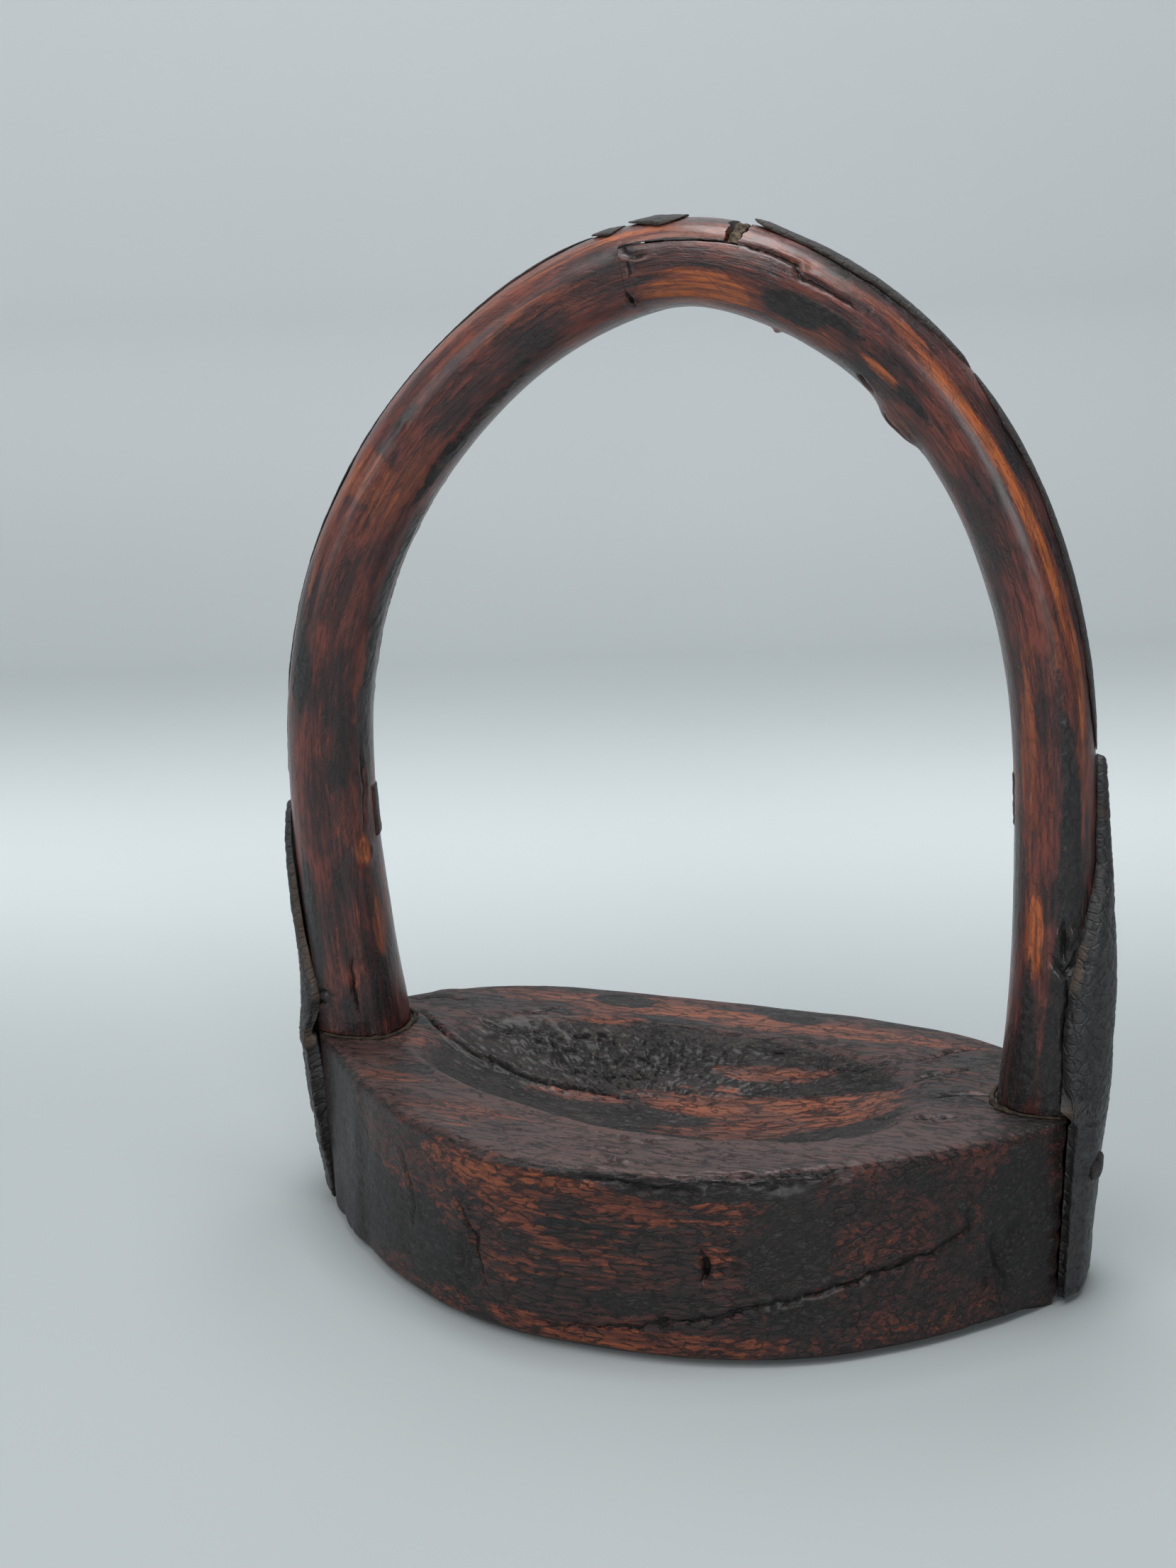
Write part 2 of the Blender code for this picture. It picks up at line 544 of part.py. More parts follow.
def build():
    for obj in list(bpy.data.objects):
        bpy.data.objects.remove(obj, do_unlink=True)

    tread_wood = material("tread_lacquer", rgb(0.060, 0.026, 0.017), 0.42)
    bow_wood = material("bow_lacquer", rgb(0.105, 0.036, 0.020), 0.34)
    putty = material("brown_putty", rgb(0.23, 0.13, 0.07), 0.80)
    peg_wood = material("peg_wood", rgb(0.16, 0.075, 0.035), 0.60)
    cheek_hide = material("cheek_hide", rgb(0.030, 0.024, 0.024), 0.50)
    strip_hide = material("strip_hide", rgb(0.026, 0.020, 0.019), 0.55)
    slip_hide = material("slip_hide", rgb(0.12, 0.06, 0.035), 0.60)
    nail_iron = material("nail_iron", rgb(0.035, 0.030, 0.030), 0.45, 0.6)

    block = tread_block(tread_wood)
    bows = [bow_half(0, bow_wood), bow_half(1, bow_wood)]
    cheeks = [cheek(0, cheek_hide), cheek(1, cheek_hide)]
    for side in (0, 1):
        seat_fillet(side, putty)

    # lap at the crown: filler at the end of the outer tongue, two pins through the lap
    s_b = arc_at_x(LAP_X[1])
    fill = [bow_ring(s, low=LAP_OFF + GAP / 2) for s in (s_b + GAP, s_b + GAP + FILL_W)]
    make_object("crown_filler", *stack(fill), putty)
    for x, name in zip(LAP_PEG_X, ("lap_peg_left", "lap_peg_right")):
        s = arc_at_x(x)
        r = table(BOW_R, s / BOW_LEN)
        c, nrm = frame_at(s)
        axis = np.array([nrm[0], 0.0, nrm[1]])
        mid = np.array([c[0], BOW_Y, c[1]])
        foot = mid - axis * (r - LAP_PEG_IN)
        make_object(name, *rod_mesh(foot, mid + axis * (r - 0.5), PEG_R), peg_wood)
        hole = cutter(name + "_hole", *rod_mesh(foot - axis * GAP, mid + axis * (r + 4),
                                                PEG_R + GAP), peg_wood)
        drill(bows[0], hole)
        drill(bows[1], hole)

    # hidden pegs through the tongues into the ends of the tread, and one nail per cheek
    for side, word in ((0, "left"), (1, "right")):
        sign = -1.0 if side == 0 else 1.0
        for z, tag, dy in ((TONGUE_PEG_Z[0], "upper", sign * TONGUE_PEG_DY),
                           (TONGUE_PEG_Z[1], "lower", -sign * TONGUE_PEG_DY)):
            name = f"tongue_peg_{word}_{tag}"
            s = arc_at_z(z, side)
            out, _ = section(s, math.radians(20))
            c, _ = frame_at(s)
            outer = c[0] + sign * (out - 0.25)
            inner = outer - sign * TONGUE_PEG_LEN
            y = BOW_Y + dy
            make_object(name, *rod_mesh((inner, y, z), (outer, y, z), PEG_R), peg_wood)
            hole = cutter(name + "_hole", *rod_mesh((inner - sign * GAP, y, z),
                                                    (outer + sign * 1.0, y, z), PEG_R + GAP),
                          peg_wood)
            drill(block, hole)
            drill(bows[side], hole)
        s, off = arc_at_z(STUD_Z, side), GAP + table(CHEEK_T[side], STUD_Z)
        seat, axis = surface_at(s, STUD_PHI[side], off)
        seat = seat + axis * GAP
        rings = []
        for along, r in ((-8.5, STUD_SHANK_R * 0.5), (0.0, STUD_SHANK_R), (0.0, STUD_HEAD_R * 0.96),
                         (0.5, STUD_HEAD_R), (1.2, STUD_HEAD_R * 0.72), (STUD_HEAD_H, 0.9)):
            rings.append(disc(seat + axis * along, axis, r, 14))
        make_object(f"cheek_stud_{word}", *stack(rings), nail_iron)
        hole = cutter(f"cheek_stud_{word}_hole",
                      *rod_mesh(seat - axis * 9.2, seat + axis * 1.5, STUD_SHANK_R + GAP, n=12),
                      nail_iron)
        for target in (cheeks[side], bows[side], block):
            drill(target, hole)
        make_object(f"inner_slip_{word}", *slip_box(side, 0.0, SLIP_T - 0.6, 0.6), slip_hide)
        pocket = cutter(f"inner_slip_{word}_pocket", *slip_box(side, GAP, SLIP_T - 0.3, 4.0),
                        slip_hide)
        drill(bows[side], pocket)

    # what is left of the hide strip along the outer face of the bow
    small = (arc_at_x(FLAKE_X[0]), arc_at_x(FLAKE_X[1]))
    large = (arc_at_x(FLAKE_X[2]), arc_at_x(FLAKE_X[3]))
    right = (arc_at_x(FLAKE_X[4]), arc_at_x(FLAKE_X[5]))
    hide_strip("outer_strip_left", arc_at_z(CHEEK_TOP[0] + 1.0, 0), small[0] - 0.6, strip_hide)
    hide_strip("crown_flake_small", *small, strip_hide, half=30.0, step=2.5)
    hide_strip("crown_flake_large", *large, strip_hide, lift0=0.5, lift1=0.3, half=32.0, step=3.0)
    hide_strip("crown_strip_right", *right, strip_hide, lift0=0.5, step=4.0)
    hide_strip("outer_strip_right", right[1] + 1.0, arc_at_z(CHEEK_TOP[1] + 1.0, 1), strip_hide,
               half=26.0)


build()
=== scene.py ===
"""Old lacquered bent-wood stirrup, its finished surface: lacquer worn through to orange wood,
black crust, shrinkage cracks, hide cheeks with raw edges, crumbling putty.

Lengths are in millimetres until a mesh is made.  X is the width, the front looks towards -Y,
Z is up, and the tread stands on Z = 0.
"""
import math

import bmesh
import bpy
import numpy as np
from mathutils import Matrix


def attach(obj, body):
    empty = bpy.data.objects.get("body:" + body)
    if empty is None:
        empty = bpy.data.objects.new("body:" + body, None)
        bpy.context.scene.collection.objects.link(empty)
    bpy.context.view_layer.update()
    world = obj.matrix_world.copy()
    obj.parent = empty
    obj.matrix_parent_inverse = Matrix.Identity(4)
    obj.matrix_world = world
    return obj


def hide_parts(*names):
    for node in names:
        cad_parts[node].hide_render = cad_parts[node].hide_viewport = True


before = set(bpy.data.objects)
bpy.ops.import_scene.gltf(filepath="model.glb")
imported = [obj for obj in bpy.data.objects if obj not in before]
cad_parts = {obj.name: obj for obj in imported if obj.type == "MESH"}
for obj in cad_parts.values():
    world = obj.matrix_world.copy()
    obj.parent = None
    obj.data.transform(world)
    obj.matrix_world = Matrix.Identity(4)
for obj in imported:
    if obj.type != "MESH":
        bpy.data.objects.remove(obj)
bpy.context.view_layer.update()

MM = 0.001
SIDES = ("left", "right")
GAP = 0.3                      # room between neighbouring parts
MIDDLE = (0.251, 0.105)        # moves the drawing to the middle of the frame
SHARP = math.radians(60.0)     # edges steeper than this are shaded as edges

# ---- tread block ---------------------------------------------------------------------------
# pairs are for the left and the right, and a power says how full a curve is
TREAD_H = 34.5
FRONT_APEX, FRONT_APEX_SHIFT = (-10.0, -38.4), 8.0   # foremost point, and its shift at the base
FRONT_POWER_TOP, FRONT_POWER_BASE = (1.8, 2.2), (2.3, 2.5)
BACK_APEX, BACK_POWER = (-9.0, 38.6), (3.3, 5.0)
END_FRONT_Y, END_BACK_Y = (2.2, 1.5), 16.6           # corners of the two flat ends
END_TOP_X, END_UNDERCUT = (-70.4, 71.3), (4.4, 1.0)
BELLY = 0.6                                          # swell of the walls at half height
DISH_C, DISH_A, DISH_B, DISH_D = (-2.0, 1.2), 47.0, 23.3, 9.2   # middle, half sizes, depth
DISH_POWER = ((1.5, 2.3), (3.0, 2.8))                # front pair, back pair
TOP_EDGE_R = 2.2                                     # rounding of the top edge
BASE_EDGE = [(0.0, 3.6), (0.5, 1.9), (1.1, 0.8), (1.8, 0.2)]    # height, distance drawn in

# ---- bow -----------------------------------------------------------------------------------
# the centre line runs from the left foot over the crown to the right foot
BOW_Y = 9.4
BOW_PATH = [(-64.4, 34.5), (-66.0, 54.5), (-67.6, 90.0), (-62.5, 118.2), (-48.7, 144.1),
            (-28.8, 164.1), (-4.5, 176.2), (6.0, 177.2), (28.2, 170.1), (45.8, 155.1),
            (58.1, 134.3), (64.7, 109.4), (66.6, 80.5), (66.9, 54.5), (65.9, 34.5)]
BOW_R = [(0.0, 8.9), (0.06, 8.3), (0.18, 7.9), (0.34, 7.8), (0.5, 7.5), (0.66, 7.0),
         (0.86, 6.7), (0.93, 7.2), (1.0, 7.9)]       # share of the length, radius
KNOT_X, KNOT_RISE, KNOT_LEN = 44.0, 1.6, 4.5         # swelling inside the right shoulder
FOOT_SQUARE, FOOT_LEN = 2.6, 16.0                    # the section is squarer at the feet
TONGUE_END, TONGUE_TAPER = 1.4, 0.7                  # tongues that run down beside the tread
LAP_X, LAP_OFF, FILL_W = (-5.5, 10.8), 4.4, 1.6      # lap joint at the crown, and its filler
SEAM = 0.04                                          # width of the tightest joints
SCAR_AT, RING_AT, NIB_S = (322.5, -70.0), (35.6, -152.0), 196.4   # arc length, degrees
CUT_FROM, CUT_TO = 169.2, 176.0                      # shallow step where the lap ends

# ---- hide ----------------------------------------------------------------------------------
STRIP_T = 0.6
FLAKE_X = (-10.2, -5.6, -4.6, 3.6, 13.2, 45.0)       # ends of three strips on the crown
CHEEK_BASE, CHEEK_TOP, CHEEK_TIP = 1.0, (79.0, 97.0), 2.4   # heights, length of the round tip
CHEEK_T = ([(0, 3.0), (20, 2.8), (36, 2.2), (60, 1.7), (79, 1.3)],
           [(0, 2.2), (25, 2.4), (38, 3.1), (58, 3.4), (80, 2.5), (97, 1.6)])
STUD_Z, STUD_PHI = 25.0, (18.0, -18.0)
STUD_HEAD_R, STUD_HEAD_H, STUD_SHANK_R = 2.6, 0.9, 0.9
SLIP_Z, SLIP_W, SLIP_T = ((72.0, 82.0), (85.0, 94.5)), 3.8, 1.5
SLIP_DY, SLIP_PROUD = (2.2, -0.6), 0.28
FILLET_H, FILLET_W = 0.45, 0.7


# ---- small mathematics -----------------------------------------------------------------------
def mix(a, b, t):
    return a + (b - a) * t


def smooth(t):
    t = np.clip(t, 0.0, 1.0)
    return t * t * (3.0 - 2.0 * t)


def table(rows, x):
    return np.interp(x, [r[0] for r in rows], [r[1] for r in rows])


def bell(x, width):
    """A smooth hump of height 1, with its half width."""
    return np.exp(-(x / width) ** 2)


def rounded(t):
    """Quarter circle from 0 to 1, which rounds an edge over."""
    return np.sqrt(np.clip(1.0 - (1.0 - t) ** 2, 0.0, 1.0))


def hash_noise(i, j, k, seed):
    """Repeatable values in -1..1 at whole-number places."""
    h = (i.astype(np.uint32) * np.uint32(374761393) + j.astype(np.uint32) * np.uint32(668265263)
         + k.astype(np.uint32) * np.uint32(2246822519) + np.uint32(seed * 97 + 13))
    h = (h ^ (h >> np.uint32(15))) * np.uint32(2246822519)
    h = (h ^ (h >> np.uint32(13))) * np.uint32(3266489917)
    h ^= h >> np.uint32(16)
    return h.astype(np.float64) / 2147483647.5 - 1.0


def noise(p, seed=0):
    """Smooth value noise in -1..1 at points p."""
    cell = np.floor(p).astype(np.int64)
    f = p - cell
    f = f * f * f * (f * (f * 6.0 - 15.0) + 10.0)
    total = np.zeros(p.shape[:-1])
    for dx in (0, 1):
        for dy in (0, 1):
            for dz in (0, 1):
                w = ((f[..., 0] if dx else 1 - f[..., 0]) * (f[..., 1] if dy else 1 - f[..., 1])
                     * (f[..., 2] if dz else 1 - f[..., 2]))
                total += w * hash_noise(cell[..., 0] + dx, cell[..., 1] + dy, cell[..., 2] + dz,
                                        seed)
    return total


def line(u, shift=0.0):
    """Points on a line through the noise, at distances u along it."""
    return np.stack([u, shift + 0.0 * u, 0.0 * u], -1)


def fractal(p, octaves=3, seed=0):
    total, amp, full = 0.0, 1.0, 0.0
    for k in range(octaves):
        total = total + amp * noise(p * 2.0 ** k + 5.7 * k, seed + k)
        full += amp
        amp *= 0.5
    return total / full


def ridges(p, octaves=3, seed=0):
    """Noise folded into sharp creases, 0 in the creases and up to 1 between them."""
    total, amp, full = 0.0, 1.0, 0.0
    for k in range(octaves):
        total = total + amp * np.abs(noise(p * 2.0 ** k + 3.1 * k, seed + k))
        full += amp
        amp *= 0.5
    return total / full * 2.0


def cell_walls(p, seed=0):
    """Distance from the walls of irregular cells, about 0 on a wall and 1 in the middle."""
    base = np.floor(p).astype(np.int64)
    best = np.full(p.shape[:-1], 9.0)
    second = best.copy()
    for dx in (-1, 0, 1):
        for dy in (-1, 0, 1):
            for dz in (-1, 0, 1):
                c = base + np.array([dx, dy, dz])
                spot = np.stack([c[..., k] + 0.5 + 0.45 * hash_noise(c[..., 0], c[..., 1],
                                                                     c[..., 2], seed + 11 * k)
                                 for k in range(3)], -1)
                d = np.sqrt(((p - spot) ** 2).sum(-1))
                second = np.minimum(second, np.maximum(best, d))
                best = np.minimum(best, d)
    return second - best


def spots(u, v, rows, edge=3.0):
    """Soft-edged oval patches: rows of (u, v, half length, half width, amount)."""
    total = np.zeros(np.shape(u))
    for cu, cv, lu, lv, amount in rows:
        d = ((u - cu) / lu) ** 2 + ((v - cv) / lv) ** 2
        total = total + amount / (1.0 + d ** edge)
    return total


def cracks(u, v, lines):
    """Signed distance to the nearest crack, its half width and its depth, all in mm.

    Each line is (points, half width, depth); cracks taper towards both ends."""
    best, width, depth = np.full(np.shape(u), 50.0), np.zeros(np.shape(u)), np.zeros(np.shape(u))
    for points, w, deep in lines:
        p = np.array(points, float)
        seg = np.diff(p, axis=0)
        length = np.hypot(seg[:, 0], seg[:, 1])
        start, full = np.concatenate([[0.0], np.cumsum(length)]), length.sum()
        for k in range(len(seg)):
            du, dv = u - p[k, 0], v - p[k, 1]
            t = np.clip((du * seg[k, 0] + dv * seg[k, 1]) / length[k] ** 2, 0.0, 1.0)
            d = np.hypot(du - t * seg[k, 0], dv - t * seg[k, 1])
            sign = np.where(du * seg[k, 1] - dv * seg[k, 0] < 0, -1.0, 1.0)
            along = (start[k] + t * length[k]) / full
            taper = np.sqrt(np.clip(np.sin(math.pi * np.clip(along, 0.02, 0.98)), 0, 1))
            near = d < np.abs(best)
            best = np.where(near, sign * d, best)
            width = np.where(near, w * taper, width)
            depth = np.where(near, deep * taper, depth)
    return best, width, depth


def groove(distance, width, depth, shoulder=0.25):
    """Height of a crack's groove, below zero."""
    return -depth * bell(distance, width + shoulder)


# ---- centre line and section of the bow --------------------------------------------------------
def natural_spline(t, v):
    """Second derivatives of a natural cubic spline through the values v at t."""
    n = len(t)
    a = np.zeros((n, n))
    rhs = np.zeros(n)
    a[0, 0] = a[-1, -1] = 1.0
    for i in range(1, n - 1):
        h0, h1 = t[i] - t[i - 1], t[i + 1] - t[i]
        a[i, i - 1], a[i, i], a[i, i + 1] = h0, 2 * (h0 + h1), h1
        rhs[i] = 6 * ((v[i + 1] - v[i]) / h1 - (v[i] - v[i - 1]) / h0)
    return np.linalg.solve(a, rhs)


def build_path(points, steps=40):
    p = np.array(points, float)
    t = np.concatenate([[0.0], np.cumsum(np.hypot(*np.diff(p, axis=0).T))])
    m = [natural_spline(t, p[:, k]) for k in (0, 1)]
    out = []
    for i in range(len(t) - 1):
        h = t[i + 1] - t[i]
        b = np.arange(steps) / steps
        a = 1.0 - b
        out.append(np.stack([a * p[i, k] + b * p[i + 1, k]
                             + ((a ** 3 - a) * m[k][i] + (b ** 3 - b) * m[k][i + 1]) * h * h / 6
                             for k in (0, 1)], -1))
    out = np.concatenate(out + [p[-1:]])
    return np.concatenate([[0.0], np.cumsum(np.hypot(*np.diff(out, axis=0).T))]), out


PATH_S, PATH_XZ = build_path(BOW_PATH)
BOW_LEN = float(PATH_S[-1])


def path_at(s):
    return np.stack([np.interp(s, PATH_S, PATH_XZ[:, 0]), np.interp(s, PATH_S, PATH_XZ[:, 1])], -1)


def arc_at_x(x):
    """Arc length at which the upper part of the bow crosses a given x."""
    upper = PATH_XZ[:, 1] > 140.0
    return float(np.interp(x, PATH_XZ[upper, 0], PATH_S[upper]))


KNOT_S = arc_at_x(KNOT_X)
LAP_S = (arc_at_x(LAP_X[0]), arc_at_x(LAP_X[1]))


def arc_at_z(z, side):
    """Arc length at which the left (0) or right (1) leg crosses a given height."""
    if z <= TREAD_H:
        return z - TREAD_H if side == 0 else BOW_LEN + TREAD_H - z
    leg = (PATH_XZ[:, 0] < 0) if side == 0 else (PATH_XZ[:, 0] > 0)
    zz, ss = PATH_XZ[leg, 1], PATH_S[leg]
    if side == 1:
        zz, ss = zz[::-1], ss[::-1]
    low = np.argmax(zz > 150.0)
    return float(np.interp(z, zz[:low], ss[:low]))


def end_x(side, z):
    lean = END_UNDERCUT[side] * (1.0 - z / TREAD_H)
    return END_TOP_X[side] + (lean if side == 0 else -lean)


def frames_at(s):
    """Centres and outward normals of the bow; below the feet it follows the tread's ends."""
    s = np.asarray(s, float)
    t = np.clip(s, 0.0, BOW_LEN)
    c = path_at(t)
    d = path_at(np.minimum(BOW_LEN, t + 0.5)) - path_at(np.maximum(0.0, t - 0.5))
    n = np.stack([-d[..., 1], d[..., 0]], -1)
    n /= np.linalg.norm(n, axis=-1, keepdims=True)
    flat = np.stack([np.where(s < BOW_LEN / 2, -1.0, 1.0), np.zeros_like(s)], -1)
    w = smooth(np.minimum(t, BOW_LEN - t) / FOOT_LEN)[..., None]
    n = mix(flat, n, w)
    n /= np.linalg.norm(n, axis=-1, keepdims=True)
    for side, below in ((0, s < 0), (1, s > BOW_LEN)):
        z = TREAD_H + s if side == 0 else TREAD_H - (s - BOW_LEN)
        foot = BOW_PATH[0] if side == 0 else BOW_PATH[-1]
        x = foot[0] + end_x(side, z) - END_TOP_X[side]
        c = np.where(below[..., None], np.stack([x, z], -1), c)
    return c, n


def bow_radius(s):
    return table(BOW_R, s / BOW_LEN)


def section(s, phi, off=0.0):
    """Outward and sideways offsets of the bow section at angle phi (0 is outward)."""
    r = bow_radius(s)
    near = np.minimum(np.maximum(0.0, s), np.maximum(0.0, BOW_LEN - s))
    foot = 1.0 - smooth(near / FOOT_LEN)
    power = 2.0 / mix(2.0, FOOT_SQUARE, foot)
    below = np.maximum(0.0, np.maximum(-s, s - BOW_LEN))
    thin = TONGUE_TAPER * below / TREAD_H
    side_r = r - 0.9 * foot
    c, q = np.cos(phi), np.sin(phi)
    r = r + np.where(c < 0, KNOT_RISE * c * c * bell(s - KNOT_S, KNOT_LEN), 0.0)
    out = np.sign(c) * np.abs(c) ** power * (r + off - np.where(c > 0, thin, 0.0))
    side = np.sign(q) * np.abs(q) ** power * (side_r + off)
    return out, side


def place(s, out, side):
    c, n = frames_at(s)
    return np.stack([c[..., 0] + n[..., 0] * out, BOW_Y + side, c[..., 1] + n[..., 1] * out], -1)


def skin(s, phi, off=0.0):
    """Points on the bow's surface, off outside the wood."""
    return place(s, *section(s, phi, off))


def bow_grain(s, out, side):
    """Grain coordinates of the bow: along the branch, and across it."""
    return np.stack([s + 0.0 * out, out, side], -1)


# ---- meshes --------------------------------------------------------------------------------
def quads(rows, cols, wrap):
    i = np.arange(rows - 1)[:, None] * cols
    j = np.arange(cols if wrap else cols - 1)[None, :]
    k = (j + 1) % cols
    return np.stack([i + j, i + k, i + cols + k, i + cols + j], -1).reshape(-1, 4)


def tube_faces(rows, cols):
    """A stack of closed rings with both ends capped."""
    ring = np.arange(cols)
    return [quads(rows, cols, True), ring[::-1], (rows - 1) * cols + ring]


def signed_volume(p, faces):
    total = 0.0
    for f in faces:
        f = np.asarray(f)
        if f.ndim == 1:
            f = np.stack([np.full(len(f) - 2, f[0]), f[1:-1], f[2:]], -1)
        for k in range(1, f.shape[1] - 1):
            a, b, c = p[f[:, 0]], p[f[:, k]], p[f[:, k + 1]]
            total += np.einsum('ij,ij->', a, np.cross(b, c))
    return total


def linked(name, data):
    """New object in the scene."""
    obj = bpy.data.objects.new(name, data)
    bpy.context.scene.collection.objects.link(obj)
    return obj


def piece(name, points, faces, mat, nodes, fields):
    """Mesh piece standing for CAD nodes. faces is a list of quad arrays and single faces."""
    points = np.asarray(points, float).reshape(-1, 3)
    if signed_volume(points, faces) < 0:
        faces = [np.asarray(f)[..., ::-1] for f in faces]
    flat = []
    for f in faces:
        flat += [f.tolist()] if np.ndim(f) == 1 else f.tolist()
    mesh = bpy.data.meshes.new(name)
    mesh.from_pydata(((points - [MIDDLE[0], MIDDLE[1], 0.0]) * MM).tolist(), [], flat)
    for key, values in fields.items():
        values = np.asarray(values, float)
        if values.size == len(points) * 3:
            layer = mesh.attributes.new(key, 'FLOAT_VECTOR', 'POINT')
            layer.data.foreach_set("vector", values.reshape(-1))
        else:
            layer = mesh.attributes.new(key, 'FLOAT', 'POINT')
            layer.data.foreach_set("value", values.reshape(-1))
    work = bmesh.new()
    work.from_mesh(mesh)
    bmesh.ops.remove_doubles(work, verts=work.verts, dist=2e-6)
    work.to_mesh(mesh)
    work.free()
    mesh.shade_smooth()
    mesh.set_sharp_from_angle(angle=SHARP)
    mesh.materials.append(mat)
    obj = linked(name, mesh)
    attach(obj, "root")
    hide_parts(*nodes)
    return obj


def slab(inner, outer):
    """Points and faces of a closed slab between two grids of the same size."""
    rows, cols = inner.shape[:2]
    points = np.concatenate([inner.reshape(-1, 3), outer.reshape(-1, 3)])
    base = rows * cols
    faces = quads(rows, cols, False)
    rim = (list(range(cols)) + [i * cols + cols - 1 for i in range(1, rows)]
           + [(rows - 1) * cols + j for j in range(cols - 2, -1, -1)]
           + [i * cols for i in range(rows - 2, 0, -1)])
    rim = np.array(rim)
    nxt = np.roll(rim, -1)
    walls = np.stack([nxt, rim, rim + base, nxt + base], -1)
    return points, [faces, base + faces[:, ::-1], walls]


# ---- materials -------------------------------------------------------------------------------
class Shader:
    """Small helper for building a Principled material from nodes."""

    def __init__(self, name, specular=0.5, coat=0.0, coat_rough=0.3, metal=0.0):
        self.mat = bpy.data.materials.new(name)
        self.mat.use_nodes = True
        self.tree = self.mat.node_tree
        self.bsdf = self.tree.nodes["Principled BSDF"]
        self.bsdf.inputs["Specular IOR Level"].default_value = specular
        self.bsdf.inputs["Coat Weight"].default_value = coat
        self.bsdf.inputs["Coat Roughness"].default_value = coat_rough
        self.bsdf.inputs["Metallic"].default_value = metal

    def put(self, socket, value):
        if isinstance(value, bpy.types.NodeSocket):
            self.tree.links.new(value, socket)
        elif value is not None:
            socket.default_value = value

    def attribute(self, name, vector=False):
        node = self.tree.nodes.new("ShaderNodeAttribute")
        node.attribute_name = name
        return node.outputs["Vector" if vector else "Fac"]

    def position(self):
        return self.tree.nodes.new("ShaderNodeTexCoord").outputs["Object"]

    def up(self):
        """How far the surface faces up, from -1 to 1."""
        geo = self.tree.nodes.new("ShaderNodeNewGeometry")
        sep = self.tree.nodes.new("ShaderNodeSeparateXYZ")
        self.tree.links.new(geo.outputs["Normal"], sep.inputs[0])
        return sep.outputs["Z"]

    def math(self, op, a, b=0.0, c=None):
        node = self.tree.nodes.new("ShaderNodeMath")
        node.operation = op
        self.put(node.inputs[0], a)
        self.put(node.inputs[1], b)
        self.put(node.inputs[2], c)
        return node.outputs[0]

    def add(self, *terms):
        total = terms[0]
        for t in terms[1:]:
            total = self.math('ADD', total, t)
        return total

    def times(self, a, b):
        return self.math('MULTIPLY', a, b)

    def rest(self, value):
        """One less the value."""
        return self.math('SUBTRACT', 1.0, value)

    def centred(self, value, amount):
        """A noise swung about zero by amount."""
        return self.times(self.math('SUBTRACT', value, 0.5), amount)

    def step(self, value, low, high):
        """0 below low, 1 above high, and smooth between them."""
        node = self.tree.nodes.new("ShaderNodeMapRange")
        node.interpolation_type = 'SMOOTHSTEP'
        for key, v in (("Value", value), ("From Min", low), ("From Max", high)):
            self.put(node.inputs[key], v)
        return node.outputs["Result"]

    def scaled(self, vector, scale):
        node = self.tree.nodes.new("ShaderNodeVectorMath")
        node.operation = 'MULTIPLY'
        self.put(node.inputs[0], vector)
        node.inputs[1].default_value = scale
        return node.outputs[0]

    def shifted(self, vector, field, amount):
        """The vector pushed sideways by a noise field, so that straight cells waver."""
        node = self.tree.nodes.new("ShaderNodeVectorMath")
        node.operation = 'MULTIPLY_ADD'
        self.put(node.inputs[0], self.math('SUBTRACT', field, 0.5))
        node.inputs[1].default_value = (amount, amount, amount)
        self.put(node.inputs[2], vector)
        return node.outputs[0]

    def twisted(self, vector, turn):
        """The vector turned about the grain, by turn radians for each mm along it."""
        sep = self.tree.nodes.new("ShaderNodeSeparateXYZ")
        self.put(sep.inputs[0], vector)
        node = self.tree.nodes.new("ShaderNodeVectorRotate")
        node.rotation_type = 'X_AXIS'
        self.put(node.inputs["Vector"], vector)
        self.put(node.inputs["Angle"], self.times(sep.outputs["X"], turn))
        return node.outputs[0]

    def noise(self, vector, scale, detail=3.0, rough=0.55, distort=0.0):
        node = self.tree.nodes.new("ShaderNodeTexNoise")
        self.put(node.inputs["Vector"], self.scaled(vector, scale))
        for key, v in (("Scale", 1.0), ("Detail", detail), ("Roughness", rough),
                       ("Distortion", distort)):
            node.inputs[key].default_value = v
        return node.outputs["Fac"]

    def cells(self, vector, scale, feature='DISTANCE_TO_EDGE'):
        """Distance from the walls of irregular cells, or from their middles with 'F1'."""
        node = self.tree.nodes.new("ShaderNodeTexVoronoi")
        node.feature = feature
        self.put(node.inputs["Vector"], self.scaled(vector, scale))
        node.inputs["Scale"].default_value = 1.0
        return node.outputs["Distance"]

    def blend(self, fac, a, b):
        node = self.tree.nodes.new("ShaderNodeMix")
        node.data_type = 'RGBA'
        self.put(node.inputs["Factor"], fac)
        for socket, v in ((node.inputs[6], a), (node.inputs[7], b)):
            self.put(socket, v if isinstance(v, bpy.types.NodeSocket) else (*v, 1.0))
        return node.outputs[2]

    def ramp(self, fac, *stops):
        node = self.tree.nodes.new("ShaderNodeValToRGB")
        self.put(node.inputs[0], fac)
        marks = node.color_ramp.elements
        marks[0].position, marks[0].color = stops[0][0], (*stops[0][1], 1.0)
        marks[1].position, marks[1].color = stops[-1][0], (*stops[-1][1], 1.0)
        for place_at, colour in stops[1:-1]:
            marks.new(place_at).color = (*colour, 1.0)
        return node.outputs[0]

    def bump(self, height, depth_mm):
        node = self.tree.nodes.new("ShaderNodeBump")
        node.inputs["Strength"].default_value = 1.0
        node.inputs["Distance"].default_value = depth_mm * MM
        self.put(node.inputs["Height"], height)
        return node.outputs["Normal"]

